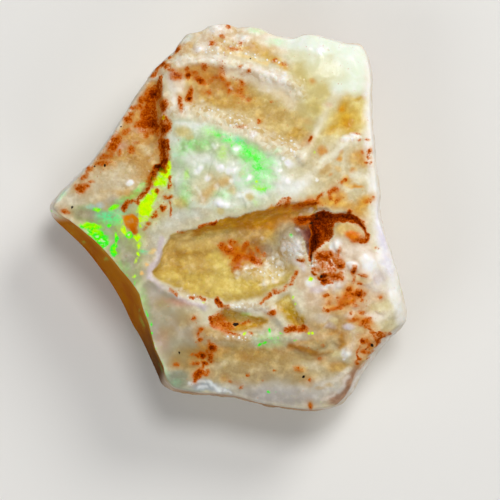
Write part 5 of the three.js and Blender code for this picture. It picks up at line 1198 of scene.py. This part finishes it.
SOFT_FIRE = {
    YELLOW_FLASH: [
        (-5.6, 0.6, 0.9, 1.1, 0.5, -20), (-4.5, 2.6, 0.6, 0.9, 0.5), (-6.1, -1.6, 0.4, 1.2, 0.4),
        (-7.2, -0.9, 0.5, 0.9, 0.5, 20), (-0.35, 4.4, 0.4, 0.5, 0.6), (-2.9, 2.87, 0.2, 0.35, 0.8),
        (2.25, 2.05, 0.55, 0.22, 0.9), (-1.2, 5.85, 0.6, 0.25, 0.6, -20), (1.9, 1.2, 0.2, 0.3, 0.5),
    ],
    GREEN_FLASH: [
        (-0.1, 5.35, 0.6, 0.4, 0.95, -25), (0.9, 5, 0.6, 0.35, 1, -25), (1.5, 4.35, 0.7, 0.55, 1.2, -40),
        (2.1, 3.9, 0.7, 0.5, 1.2, -40), (2.05, 3.4, 0.7, 0.5, 1, -30), (2, 2.8, 0.9, 0.6, 0.8),
        (2.4, 2.1, 0.6, 0.35, 0.8), (-1, 5.8, 0.7, 0.35, 0.65, -15), (-2.4, 4.9, 1.1, 0.4, 0.45, 10),
        (-3.2, 4.3, 0.3, 0.5, 0.35), (-2.95, 1.6, 0.3, 1, 0.3, 10), (-0.2, 1.45, 0.5, 0.3, 0.3),
        (2.8, 3.3, 0.6, 0.7, 0.7), (0.9, 2.2, 0.4, 0.3, 0.3), (1.6, 3.4, 0.6, 0.5, 0.6),
        (0.3, 4.6, 0.5, 0.3, 0.5), (-6.4, 1.6, 0.9, 0.2, 0.65, 42), (-5.9, 2.2, 0.4, 0.2, 0.5, 45),
        (-7.2, 1.15, 0.5, 0.2, 0.5, 20), (-9.1, -1.2, 1.1, 0.6, 0.45, -30), (-8, -0.1, 0.9, 0.45, 1),
        (-7.8, -2.1, 0.3, 0.7, 0.3, 10), (-7, -3.9, 0.2, 0.7, 0.3), (-11.6, 1.5, 0.3, 0.15, 0.4, 45),
        (2, 12.9, 0.5, 0.25, 0.3), (-7.4, -3.4, 0.2, 0.8, 0.3, 20), (-5.9, -6, 0.3, 1.6, 0.3, 12),
        (1.3, -6.7, 0.3, 0.15, 0.3), (2.9, -8.5, 0.9, 0.4, 0.35), (3.2, 12.1, 0.5, 0.3, 0.3),
    ],
    SEA_FLASH: [
        (0.75, 5.25, 0.45, 0.22, 1.05, -25), (0, 5.6, 0.35, 0.16, 0.9, -20),
        (-8.2, 0.02, 0.8, 0.42, 1.1, -10), (-7.6, 0.2, 0.6, 0.3, 0.7), (-3.6, -11.5, 0.35, 0.25, 0.25),
        (-4.4, -10.6, 0.2, 0.6, 0.35, 20), (-5.7, -2.4, 0.4, 0.15, 0.4), (-9.6, 0.7, 0.5, 0.2, 0.35),
        (3.3, 4.6, 0.3, 0.2, 0.3), (-3.6, 4.2, 0.3, 0.3, 0.25),
    ],
}


def fire_and_hue(flashes, softness):
    """The strength of the flashes, and the hue of the strongest at each point."""
    covers = {hue: patches(ovals, softness) for hue, ovals in flashes.items()}
    strength = np.max(list(covers.values()), axis=0)
    shares = sum(cover**3 for cover in covers.values()) + 1e-9
    return strength, sum(hue * cover**3 for hue, cover in covers.items()) / shares


fire, fire_hue = fire_and_hue(SHARP_FIRE, 0.7)
glow, glow_hue = fire_and_hue(SOFT_FIRE, 1.0)

# A clearing in the glassy corner is filled with orange.
ORANGE_FILLING = ([
    (-7.6, 0.25, 2), (-6.55, 0.38, 2), (-6.1, -0.1, 2), (-6.15, -1.6, 2), (-6.7, -1.1, 2), (-7.2, -0.4, 2),
], 0.5)
in_filling = np.clip(inside_hollow(ORANGE_FILLING, 0.3) * (1.15 + 0.6 * rough(skin, 0.3, 131)), 0, 1)
lay((222, 136, 0), in_filling)
darker_below = smooth((0.1 - skin[:, 1] + 0.6 * (skin[:, 0] + 6.8)) / 1.3)
lay((196, 98, 0), in_filling * darker_below)
fire *= 1 - in_filling
glow *= 1 - in_filling

# Pin points of white where the stacks are brightest, and a few orange ones deep in the clear corner.
white_points = patches([
    (-9.7, -1.05, 0.1, 0.06, 0.9, -40), (-9.1, -1.3, 0.16, 0.07, 0.9, 20), (-8.85, -1.5, 0.12, 0.07, 0.8),
    (-8.68, -1.6, 0.14, 0.06, 0.9, -20), (-8.8, -1.85, 0.12, 0.06, 0.9), (-8.5, -1.95, 0.1, 0.06, 0.8),
    (-6.85, -1.28, 0.1, 0.1, 0.9), (-9.2, -1.35, 0.12, 0.06, 0.8, -10), (-9, -1.6, 0.1, 0.06, 0.8),
    (-8.85, -2.02, 0.1, 0.06, 0.8, -20), (-8.6, -1.8, 0.1, 0.06, 0.8), (-9.15, -1.12, 0.1, 0.05, 0.8),
], 0.6)
lay((226, 255, 208), white_points)
fire *= 1 - 0.8 * white_points
stain((250, 206, 130), 0.6, [
    (-5.2, -2.4, 0.2, 0.16, 0.8, 30), (-5.6, -3.3, 0.14, 0.12, 0.8), (-5.9, -3.85, 0.14, 0.12, 0.9),
])


# ----------------------------
# The sides and the back.
# The sides cut through the seam, so they show its layers: white and cream bands with rust between
# them. The hollow break is clear amber-brown opal. The back is still crusted with sandy seam wall.
# ----------------------------
tilted = skin @ np.array([[0.96, 0.1, 0.26], [-0.08, 0.99, -0.1], [-0.27, 0.08, 0.96]]).T
layered = np.stack([tilted[:, 0] / 3, tilted[:, 1] / 3, tilted[:, 2]], axis=1)
layers = rough(layered, 0.9, 51)
milky_swells = rough(skin, 3.2, 53)
small_swells = rough(skin, 0.7, 55)

side_body = np.tile(pigment(216, 203, 170), (len(skin), 1))
side_body = washed(side_body, (233, 226, 208), smooth(layers * 1.6 + 0.3))
side_body = washed(side_body, (196, 164, 108), smooth(1.4 * milky_swells - 0.4 * layers + 0.1) * 0.8)
side_body = washed(side_body, (172, 176, 150), smooth(2 * cloud(skin, 2.6, 57) - 0.4) * 0.75)

amber = np.tile(pigment(176, 104, 0), (len(skin), 1))
amber = washed(amber, (88, 50, 10), smooth((-skin[:, 1] - 5) / 6 + 0.15 * milky_swells))
amber = washed(amber, (196, 130, 10), smooth(1.1 * cloud(skin, 4.2, 59)) * 0.5)
amber = washed(amber, (216, 158, 54), smooth((skin[:, 2] - 5.2) / 3) * 0.65)
side_body += (amber - side_body) * in_hollow_break[:, None]

seam_wall = np.tile(pigment(201, 168, 110), (len(skin), 1))
seam_wall = washed(seam_wall, (222, 202, 158), smooth(1.6 * milky_swells + 0.5 * small_swells))
brown_swells = smooth(1.8 * cloud(skin, 2.2, 61) + 0.6 * small_swells - 0.3)
seam_wall = washed(seam_wall, (176, 128, 66), brown_swells * 0.8)
opal_on_back = smooth(4 * (0.35 - np.abs(rough(skin, 7, 63) + 0.1 + 0.04 * skin[:, 0])))
seam_wall = washed(seam_wall, (196, 206, 178), opal_on_back)

SANDY_UP_TO = 2.2
bed_reach = smooth((SANDY_UP_TO - skin[:, 2]) / 1.4 + 0.4 * small_swells) * (1 - in_hollow_break)
bed_reach = np.where(is_bed, 1, np.where(is_face, 0, bed_reach))
back_body = side_body + (seam_wall - side_body) * bed_reach[:, None]
body = back_body + (body - back_body) * face_reach[:, None]
rim_skin = smooth(row_number / 4) * smooth((13 - row_number) / 5) * (1 - in_hollow_break) * ~is_bed
lay((236, 231, 224), rim_skin * (0.75 + 0.3 * cloud(skin, 1.6, 79)))

FOOT_RIM_START, FOOT_RIM_END = 244, 304
foot_rim = rim_skin * smooth((turn_degrees - FOOT_RIM_START) / 6)
foot_rim *= smooth((FOOT_RIM_END - turn_degrees) / 12)
lay((142, 104, 68), 0.85 * foot_rim)

# Rust in the joints between the layers and over the back, and a few flashes in the clear bands.
side_rust = smooth(3.4 * (0.16 - np.abs(rough(layered, 1.6, 65))) + 1.6 * cloud(skin, 2.4, 67) - 0.9)
back_rust = smooth(2 * rough(skin, 2.4, 69) - 0.3 + 0.9 * small_swells) * (1 - 0.8 * opal_on_back)
away_rust = np.where(is_bed, back_rust, np.maximum(side_rust, bed_reach * back_rust)) * 0.95
away_rust = away_rust * (1 - face_reach) * (1 - 0.85 * in_hollow_break) * (1 - 0.8 * rim_skin)
rust = rust * face_reach + away_rust
soot = soot * face_reach
plain_sides = (1 - face_reach) * (1 - in_hollow_break)
dust = dust * face_reach + plain_sides * 0.6

clear_band = smooth(4 * (0.2 - np.abs(layers + 0.35))) * smooth(2.5 * cloud(skin, 1.8, 71) - 0.5)
away_fire = np.where(is_bed, 0.4 * opal_on_back * smooth(3 * cloud(skin, 1.6, 73) - 0.6), 0.7 * clear_band)
fire = fire * face_reach + away_fire * (1 - face_reach) * (1 - 0.7 * in_hollow_break)
glow = glow * face_reach + 0.7 * away_fire * (1 - face_reach)
fire_hue = fire_hue * face_reach + 0.5 * (1 - face_reach) * (1 + cloud(skin, 1.1, 75))
glow_hue = glow_hue * face_reach + 0.5 * (1 - face_reach)


# ----------------------------
# The feel of the surface.
# Clean opal breaks smooth as glass. The crests are sugary, the table and the shoulder are knobbly
# like wax drips, the dips and the back keep sand grains, and rust stands proud as a thin crust.
# ----------------------------
sugar = strokes(SUGARY_CRESTS, 0.8)
sugar = np.maximum(sugar, patches([
    (-0.6, 12.3, 2.8, 1.4, 0.7), (4.6, -2.1, 0.9, 1, 1), (6.9, -3.6, 1.4, 1.4, 0.9),
    (2.4, -3.4, 1.8, 0.9, 0.9), (0.6, -8.3, 2, 0.35, 0.5), (2.2, -6.2, 1.6, 0.4, 0.8),
    (8.5, 5.4, 0.9, 0.3, 0.7), (-2.2, -5.6, 1.6, 0.3, 0.5, -20),
], 0.4))
sand = (0.35 + 0.5 * patches([(2, -3.4, 2, 1.6, 1, -20)], 0.5)) * inside_hollow(SANDY_HOLLOW, 0.3)
brown_stains = patches([(0.9, -2.7, 1.2, 0.8, 1, -15), (2.3, -2.3, 0.7, 0.5, 1)], 0.6)
sand *= 1 - 0.85 * brown_stains
sugar *= 1 - 0.8 * brown_stains
sand = np.maximum(sand, 0.45 * inside_hollow(STAINED_DIP, 0.3))
sand = np.maximum(sand, 0.7 * inside_hollow(LEFT_STEP, 0.4))
sand = np.maximum(sand, 0.8 * np.maximum(inside_hollow(ORANGE_PIT, 0.2), inside_hollow(OLIVE_PIT, 0.2)))
sand = np.maximum(sand, patches([
    (9.6, -9, 1.4, 1.4, 0.6), (8.6, -6, 1.8, 1.6, 0.4), (1.4, -9.6, 3.4, 0.9, 0.3),
    (-3.4, 11, 1.2, 1.2, 0.6), (9, 4, 1, 0.9, 0.5),
], 0.5))
crystals = patches([
    (2.4, -3.5, 2, 1, 0.6, -15), (4.7, -2.3, 0.6, 1, 0.9, 10), (4, 5, 1.4, 0.6, 0.9, -35),
    (6.7, -3.2, 1.1, 0.5, 1), (0.8, -8.25, 1.4, 0.3, 0.9), (-2.6, -5.4, 1.2, 0.25, 0.7, -25),
    (0.6, -6.1, 1, 0.25, 1), (-0.2, 11.7, 1.8, 0.8, 0.7), (2.4, 11, 2, 0.25, 0.8, -18),
    (0.2, 6.7, 2.4, 0.6, 0.7, -18), (3, 9.8, 1.3, 0.4, 0.6, -12), (1.5, 3, 3.2, 1.4, 0.25),
    (-1.2, 9.4, 2, 1, 0.15), (9, -3.6, 1.6, 1.4, 0.15), (8.6, 5.4, 0.7, 0.2, 0.9), (-5.6, 4, 0.6, 2, 0.3),
], 0.5) * face_reach * (1 - 0.6 * brown_stains)
beads = np.zeros(len(skin))
for bead_x, bead_y, radius in BEADS:
    beads = np.maximum(beads, smooth(1.25 - 1.2 * np.hypot(stain_x - bead_x, stain_y - bead_y) / radius))
beads *= face_reach * (1 - np.clip(rust, 0, 1))
# The beads' middles are whitened: painted highlight.
lay((250, 250, 248), 0.4 * beads)

# Painted highlights: spots laid pure white into the body colour where wet-looking points catch the light.
PAINTED_HIGHLIGHTS = [
    (1.78, 5.66, 0.2, 0.15, 1), (1.48, 2.6, 0.17, 0.17, 1), (4.2, 3.6, 0.2, 0.26, 0.9),
    (4.14, 2.4, 0.18, 0.16, 1), (-0.4, 0.93, 0.26, 0.1, 1, -15), (3.9, 3.95, 0.14, 0.1, 0.9),
    (3.62, 3.1, 0.14, 0.1, 0.8, 30), (0.6, 4.65, 0.14, 0.12, 0.8), (-0.45, 3.48, 0.16, 0.13, 0.9),
    (0.3, 3.15, 0.16, 0.1, 0.8, -20), (6.15, 2.55, 0.14, 0.08, 0.9), (8.75, 5.52, 0.26, 0.1, 1),
    (8.15, 5.42, 0.14, 0.08, 0.8), (6.35, 11.55, 0.2, 0.14, 1), (6.9, 11.7, 0.1, 0.1, 0.8),
    (-2.05, 11.6, 0.2, 0.15, 1), (-0.7, 11.6, 0.12, 0.12, 0.9), (1, 12.4, 0.22, 0.12, 0.9),
    (1.3, 12.1, 0.12, 0.1, 0.8), (-0.6, 13.2, 0.3, 0.14, 0.8), (3.6, 9.5, 0.22, 0.18, 1),
    (3.95, 9.9, 0.14, 0.1, 0.8), (2.6, 10, 0.14, 0.1, 0.6), (9.75, -3.3, 0.2, 0.32, 1, 10),
    (9.45, -2.65, 0.12, 0.18, 0.9, 20), (8.45, -3.3, 0.3, 0.1, 0.9, -10), (7.2, -1.95, 0.2, 0.2, 1),
    (4.45, -1.3, 0.12, 0.1, 0.8), (4.9, -1.8, 0.14, 0.2, 0.9), (4.3, -1.75, 0.12, 0.08, 0.8),
    (5.1, -2.4, 0.14, 0.24, 0.9), (4.58, -2, 0.2, 0.18, 1), (4.88, -2.35, 0.16, 0.16, 1),
    (4.2, -2.1, 0.12, 0.1, 0.8), (8.05, -9.85, 0.12, 0.08, 0.9, 30), (6.8, -4.8, 0.3, 0.1, 0.8, 8),
    (7.7, -4.4, 0.16, 0.14, 0.8), (11.2, -5.3, 0.1, 0.3, 0.6, 12),
]
painted_highlights = patches(PAINTED_HIGHLIGHTS, 0.45) * face_reach
lay((255, 255, 255), painted_highlights)
glow *= 1 - painted_highlights

knobs = patches([
    (0, 3.2, 5.6, 3.2, 0.8), (9, -4.6, 3, 3.6, 0.9), (6.4, -8.6, 2.4, 1.2, 0.7), (7.6, 3, 2.6, 2.6, 0.45),
    (3.4, -7.6, 2.4, 1, 0.7), (6.2, -11, 2, 1.2, 0.35),
], 0.4)
glassy = patches([
    (7.6, 10.6, 3, 2.2, 1), (-8.2, -0.8, 2.2, 1.6, 1, -30), (-5, -7.4, 2.2, 4.2, 1, 20),
    (3.6, -12.2, 3.6, 1.2, 0.7), (6, 7.8, 1.2, 2, 0.5), (-2.4, -11.8, 2, 0.6, 0.8),
], 0.4)
sugar = sugar * face_reach
sand = sand * face_reach + plain_sides * (0.3 + 0.5 * bed_reach)
knobs = knobs * face_reach + plain_sides * 0.5
glassy = np.clip(glassy * face_reach + (1 - face_reach) * in_hollow_break, 0, 1)

big_grains, big_grain_number = grains(skin, 0.95, 81)
sugar_grains, sugar_number = grains(skin, 0.42, 85)
small_grains, small_grain_number = grains(skin, 0.3, 89)
KNOB_HEIGHT, SUGAR_HEIGHT, SAND_HEIGHT, WAVE_HEIGHT, CRUST_HEIGHT = 0.2, 0.16, 0.08, 0.05, 0.05
relief = WAVE_HEIGHT * rough(skin, 1.4, 93) * (1 - 0.8 * glassy)
relief += knobs * (KNOB_HEIGHT * big_grains * (big_grain_number > 0.3) + 0.07 * sugar_grains)
relief += sugar * SUGAR_HEIGHT * sugar_grains * (0.3 + sugar_number)
relief += sand * (0.06 * rough(skin, 0.45, 97) + SAND_HEIGHT * small_grains * small_grain_number)
relief += CRUST_HEIGHT * np.clip(rust, 0, 1) * (1 + cloud(skin, 0.25, 99))
relief = relief * (1 - 0.85 * glassy)


def outward_directions(points, corners):
    """The direction that the skin faces at each point."""
    first, second, third = (points[corners[:, i]] for i in range(3))
    across = np.cross(second - first, third - first)
    total = np.stack([
        sum(np.bincount(corners[:, i], across[:, axis], len(points)) for i in range(3)) for axis in range(3)
    ], axis=1)
    return total / (np.linalg.norm(total, axis=1, keepdims=True) + 1e-12)


skin += outward_directions(skin, triangles) * relief[:, None]

# Set the fine skin on the same middle and the same floor as the plain solid that it stands for.
cad_low, cad_high = (np.array(corner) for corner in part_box("rough_opal"))
low, high = skin.min(axis=0) * MM, skin.max(axis=0) * MM
shift = (cad_low + cad_high) / 2 - (low + high) / 2
shift[2] = cad_low[2] - low[2]

stone_mesh = bpy.data.meshes.new("fire_opal")
stone_mesh.from_pydata((skin * MM + shift).tolist(), [], triangles.tolist())
stone_mesh.shade_smooth()
for name, values in {
    "rust": rust, "soot": soot, "fire": fire, "fire_hue": fire_hue, "glow": glow, "glow_hue": glow_hue,
    "dust": dust, "sand": sand, "sugar": sugar, "glassy": glassy,
    "amber": np.maximum(in_hollow_break, in_filling), "crystals": crystals, "beads": beads,
}.items():
    stone_mesh.attributes.new(name, "FLOAT", "POINT").data.foreach_set("value", values.astype(np.float32))
body_colour = np.concatenate([np.clip(body, 0, 1), np.ones((len(body), 1))], axis=1)
body_layer = stone_mesh.attributes.new("body", "FLOAT_COLOR", "POINT")
body_layer.data.foreach_set("color", body_colour.astype(np.float32).ravel())

scene = bpy.context.scene
stone = bpy.data.objects.new("fire_opal", stone_mesh)
scene.collection.objects.link(stone)


# ----------------------------
# The finish of the stone.
# One material for the whole lump: milky silica that light sinks into, with sand grains, rust crusts
# and flashes of fire laid over it where the skin says, glassy where it is clean and dull where sandy.
# ----------------------------
SAND_GRAIN, SUGAR_GRAIN, CRYSTAL, FIRE_CELL, TINY_FIRE_CELL = 0.2, 0.26, 0.21, 0.26, 0.12
LIGHT_DEPTH = 0.5
BUMP_DEPTH = 0.09

opal = bpy.data.materials.new("rough_fire_opal")
opal.use_nodes = True
nodes, links = opal.node_tree.nodes, opal.node_tree.links
finish = nodes["Principled BSDF"]


def feed(socket, value):
    if isinstance(value, bpy.types.NodeSocket):
        links.new(value, socket)
    else:
        socket.default_value = value


def add(kind, inputs, **settings):
    node = nodes.new(kind)
    for name, value in settings.items():
        setattr(node, name, value)
    for name, value in inputs.items():
        feed(node.inputs[name], value)
    return node


def skin_value(name):
    return add("ShaderNodeAttribute", {}, attribute_name=name).outputs["Fac"]


def maths(operation, first, second, third=0.0):
    return add("ShaderNodeMath", {0: first, 1: second, 2: third}, operation=operation).outputs[0]


def times(first, second):
    return maths("MULTIPLY", first, second)


def plus(first, second):
    return maths("ADD", first, second)


def larger(first, second):
    return maths("MAXIMUM", first, second)


def scaled(value, factor, offset):
    return maths("MULTIPLY_ADD", value, factor, offset)


def ramped(value, start, end):
    """0 below start, 1 above end, smooth between."""
    return add("ShaderNodeMapRange", {"Value": value, "From Min": start, "From Max": end},
               interpolation_type="SMOOTHSTEP").outputs["Result"]


def mixed(share, first, second, blend="MIX"):
    node = add("ShaderNodeMix", {0: share}, data_type="RGBA", blend_type=blend)
    feed(node.inputs[6], first)
    feed(node.inputs[7], second)
    return node.outputs[2]


def colours_along(value, stops):
    ramp = add("ShaderNodeValToRGB", {"Fac": value})
    while len(ramp.color_ramp.elements) < len(stops):
        ramp.color_ramp.elements.new(0.5)
    for element, (position, colour) in zip(ramp.color_ramp.elements, stops):
        element.position = position
        element.color = (*pigment(*colour), 1)
    return ramp.outputs["Color"]


where = add("ShaderNodeTexCoord", {}).outputs["Object"]
in_mm = add("ShaderNodeVectorMath", {0: where, "Scale": 1 / MM}, operation="SCALE").outputs[0]


def mottle(size, detail=3.0, roughness=0.5):
    return add("ShaderNodeTexNoise", {
        "Vector": in_mm, "Scale": 1 / size, "Detail": detail, "Roughness": roughness,
    }).outputs["Fac"]


def cells(size):
    return add("ShaderNodeTexVoronoi", {"Vector": in_mm, "Scale": 1 / size})


def number_of(cell):
    """A random number for each cell."""
    return add("ShaderNodeSeparateColor", {"Color": cell.outputs["Color"]}).outputs["Red"]


finest_mottle = mottle(0.09, 1.0)
fine_mottle = mottle(0.16)
middle_mottle = mottle(0.6)
wide_mottle = mottle(1.8)
glassy_share = skin_value("glassy")
calm = scaled(glassy_share, -0.85, 1.0)

body_tone = add("ShaderNodeAttribute", {}, attribute_name="body").outputs["Color"]
amber_share = skin_value("amber")
lighter_share = times(ramped(middle_mottle, 0.42, 0.75), scaled(calm, 0.4, 0.35))
lighter_share = times(lighter_share, scaled(amber_share, -0.9, 1.0))
lighter = mixed(lighter_share, body_tone, (1, 1, 1, 1), "SOFT_LIGHT")
veil_share = times(ramped(wide_mottle, 0.62, 0.28), 0.6)
darker = mixed(veil_share, lighter, (0.3, 0.19, 0.08, 1), "SOFT_LIGHT")
speckle_share = times(ramped(fine_mottle, 0.36, 0.66), calm)
speckled = mixed(times(speckle_share, 0.16), darker, (0.95, 0.93, 0.88, 1), "SOFT_LIGHT")
pitted = mixed(times(times(ramped(fine_mottle, 0.5, 0.26), calm), 0.12), speckled,
               (0.3, 0.2, 0.1, 1), "SOFT_LIGHT")

sandy = skin_value("sand")
sugary = skin_value("sugar")
sand_cells = cells(SAND_GRAIN)
sand_tone = colours_along(number_of(sand_cells), [
    (0.0, (158, 102, 36)), (0.3, (198, 160, 88)), (0.7, (222, 200, 140)), (1.0, (250, 242, 220)),
])
sanded = mixed(times(sandy, 0.22), pitted, sand_tone)
sugar_cells = cells(SUGAR_GRAIN)
sugar_tone = colours_along(number_of(sugar_cells), [
    (0.0, (200, 160, 100)), (0.45, (230, 218, 194)), (1.0, (255, 254, 248)),
])
sugared = mixed(times(sugary, 0.45), sanded, sugar_tone)

# Bare crystal faces, a few small white ones in every sugary or sandy place; their white is partly painted
# highlight.
crystal_cells = cells(CRYSTAL)
crystal_field = scaled(skin_value("crystals"), 0.5, number_of(crystal_cells))
crystal_core = scaled(finest_mottle, 0.6, crystal_cells.outputs["Distance"])
crystal_core = ramped(crystal_core, 0.82, 0.58)
crystal_share = times(ramped(crystal_field, 1.12, 1.2), crystal_core)
crystalled = mixed(crystal_share, sugared, (0.95, 0.95, 0.9, 1))

# Fire: soft under the milk, and sharp where each little cell of stacked spheres faces its own way.
FIRE_TONES = [
    (0.0, (206, 250, 0)), (0.3, (150, 252, 0)), (0.5, (60, 246, 8)), (0.75, (60, 240, 70)),
    (1.0, (84, 230, 154)),
]
SOFT_TONES = [(0.0, (186, 244, 84)), (0.5, (112, 250, 104)), (1.0, (110, 236, 172))]
fire_cells = cells(FIRE_CELL)
fire_number = number_of(fire_cells)
tiny_fire_cells = cells(TINY_FIRE_CELL)
tiny_fire_number = number_of(tiny_fire_cells)
glow_tone = colours_along(skin_value("glow_hue"), SOFT_TONES)
glow_field = times(skin_value("glow"), ramped(middle_mottle, 0.2, 0.55))
glow_field = times(glow_field, scaled(tiny_fire_number, 0.6, 0.55))
glowing = mixed(times(glow_field, 0.95), crystalled, glow_tone)
fire_field = plus(skin_value("fire"), scaled(fire_number, 0.24, -0.12))
fire_field = plus(fire_field, scaled(fine_mottle, 0.5, -0.25))
fire_field = plus(fire_field, scaled(tiny_fire_number, 0.24, -0.12))
fire_amount = ramped(fire_field, 0.15, 0.85)
hue_value = plus(skin_value("fire_hue"), scaled(fire_number, 0.36, -0.18))
fire_tone = colours_along(hue_value, FIRE_TONES)
shaded_fire = mixed(times(tiny_fire_number, 0.22), fire_tone, (0.3, 0.3, 0.05, 1), "MULTIPLY")
lit = mixed(fire_amount, glowing, shaded_fire)

# Rust: an ochre halo, then orange-brown, then nearly black where the crust is thick.
dusty = skin_value("dust")


def dusted(size, threshold):
    """Specks of one size, on more of the cells where dust is thickly strewn."""
    dust_cells = cells(size)
    field = scaled(dusty, 0.5, number_of(dust_cells))
    core = scaled(finest_mottle, 0.6, dust_cells.outputs["Distance"])
    return times(ramped(field, threshold, threshold + 0.12), ramped(core, 0.85, 0.4))


dust_share = larger(dusted(0.34, 1.16), dusted(0.2, 1.04))
ochre_share = times(ramped(mottle(0.4), 0.5, 0.68), dusty)
halo_share = times(ramped(skin_value("rust"), 0.06, 0.55), 0.7)
haloed = mixed(halo_share, lit, (*pigment(240, 158, 52), 1), "MULTIPLY")
stained = mixed(times(ochre_share, 0.5), haloed, (*pigment(198, 134, 52), 1))
rust_field = plus(skin_value("rust"), scaled(fine_mottle, 1.3, -0.65))
rust_field = plus(rust_field, scaled(finest_mottle, 0.7, -0.35))
rust_field = plus(rust_field, scaled(middle_mottle, 0.4, -0.2))
rust_field = larger(rust_field, times(dust_share, 0.5))
rust_tone = colours_along(times(rust_field, 0.7), [
    (0.1, (214, 134, 36)), (0.26, (202, 110, 12)), (0.4, (188, 88, 0)), (0.54, (166, 66, 0)),
    (0.68, (132, 44, 0)), (0.82, (98, 28, 0)), (0.98, (62, 14, 0)),
])
rusted = mixed(ramped(rust_field, 0.2, 0.66), stained, rust_tone)
soot_field = plus(skin_value("soot"), scaled(fine_mottle, 0.4, -0.2))
specked = mixed(ramped(soot_field, 0.35, 0.6), rusted, (*pigment(38, 26, 18), 1))
feed(finish.inputs["Base Color"], specked)

# How light plays on it.
grain_share = larger(sandy, times(sugary, 0.7))
rust_share = ramped(rust_field, 0.3, 0.7)
wet = larger(skin_value("beads"), crystal_share)
dull = scaled(grain_share, 0.3, 0.34)
dull = scaled(rust_share, 0.2, dull)
dull = scaled(wet, -0.25, dull)
dull = scaled(fine_mottle, 0.16, maths("SUBTRACT", dull, 0.08))
feed(finish.inputs["Roughness"], dull)
feed(finish.inputs["IOR"], 1.45)
feed(finish.inputs["Specular IOR Level"], 0.0)
bare = maths("SUBTRACT", 1.0, larger(rust_share, larger(amber_share, sandy)))
coat = times(larger(bare, times(amber_share, 0.3)), 0.2)
feed(finish.inputs["Coat Weight"], larger(coat, wet))
feed(finish.inputs["Coat Roughness"], 0.1)
deep_colour = larger(rust_share, times(amber_share, 0.85))
feed(finish.inputs["Subsurface Weight"], scaled(deep_colour, -0.35, 0.36))
feed(finish.inputs["Subsurface Radius"], (1.0, 0.75, 0.5))
feed(finish.inputs["Subsurface Scale"], LIGHT_DEPTH * MM)
# The sharp fire also gives off a little light of its own, so it glows: a painted glow.
feed(finish.inputs["Emission Color"], fire_tone)
feed(finish.inputs["Emission Strength"], times(fire_amount, 0.16))

grain_height = times(maths("SUBTRACT", 1.0, sand_cells.outputs["Distance"]), sandy)
sugar_height = times(maths("SUBTRACT", 1.0, sugar_cells.outputs["Distance"]), sugary)
skin_height = plus(times(grain_height, 0.4), times(sugar_height, 0.6))
skin_height = scaled(crystal_share, 0.5, skin_height)
skin_height = scaled(times(fine_mottle, calm), 0.36, skin_height)
bump = add("ShaderNodeBump", {"Height": skin_height, "Distance": BUMP_DEPTH * MM, "Strength": 0.7})
feed(finish.inputs["Normal"], bump.outputs["Normal"])
feed(finish.inputs["Coat Normal"], bump.outputs["Normal"])
stone_mesh.materials.append(opal)

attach(stone, "root")
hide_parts("rough_opal")


# ----------------------------
# The table top that the stone lies on.
# A sheet of plain pale paper, matt and flat, so wide that its edges are never seen.
# ----------------------------
FLOOR_HALF = 3.0

floor_mesh = bpy.data.meshes.new("floor")
floor_corners = [(x * FLOOR_HALF, y * FLOOR_HALF, 0) for x, y in [(-1, -1), (1, -1), (1, 1), (-1, 1)]]
floor_mesh.from_pydata(floor_corners, [], [(0, 1, 2, 3)])
floor = bpy.data.objects.new("floor", floor_mesh)
scene.collection.objects.link(floor)
paper = bpy.data.materials.new("pale_paper")
paper.use_nodes = True
paper_finish = paper.node_tree.nodes["Principled BSDF"]
feed(paper_finish.inputs["Base Color"], (*pigment(232, 231, 228), 1))
feed(paper_finish.inputs["Roughness"], 0.8)
floor_mesh.materials.append(paper)


# ----------------------------
# Soft studio light: a wide lamp above the top right corner of the stone, one nearly overhead that
# puts bright points on the wet-looking beads, and two weaker ones across from them.
# ----------------------------
def lamp(name, place, size, power, colour=(1, 1, 1)):
    light = bpy.data.lights.new(name, "AREA")
    light.shape = "DISK"
    light.size = size
    light.energy = power
    light.color = colour
    holder = bpy.data.objects.new(name, light)
    holder.location = place
    holder.rotation_euler = (-Vector(place)).to_track_quat("-Z", "Y").to_euler()
    scene.collection.objects.link(holder)


lamp("key", (0.16, 0.2, 0.22), 0.14, 0.54, (1, 0.98, 0.95))
lamp("overhead", (0.04, 0.1, 0.28), 0.08, 0.3)
lamp("fill", (-0.22, -0.14, 0.24), 0.22, 0.3, (0.98, 0.99, 1))
lamp("low_fill", (0.14, -0.26, 0.2), 0.2, 0.18, (1, 0.97, 0.95))

world = bpy.data.worlds.new("studio")
scene.world = world
world.use_nodes = True
sky = world.node_tree.nodes["Background"]
feed(sky.inputs["Color"], (1, 1, 1, 1))
feed(sky.inputs["Strength"], 0.14)
scene.view_settings.view_transform = "Standard"


# ----------------------------
# The camera looks straight down at the face. 35 mm of the girdle's level fill the frame, and the
# stone lies a little up and left of its middle.
# ----------------------------
FRAME_WIDTH = 35.0
FRAME_MIDDLE = (1.54, -2.24)
GIRDLE_HEIGHT = 5.0
LENS = 300.0
SENSOR = 36.0

camera_data = bpy.data.cameras.new("camera")
camera_data.lens = LENS
camera_data.sensor_width = SENSOR
camera_data.clip_start = 0.005
camera_data.clip_end = 10
camera = bpy.data.objects.new("camera", camera_data)
camera_height = GIRDLE_HEIGHT + FRAME_WIDTH * LENS / SENSOR
camera.location = (FRAME_MIDDLE[0] * MM, FRAME_MIDDLE[1] * MM, camera_height * MM)
scene.collection.objects.link(camera)
bpy.context.scene.camera = camera
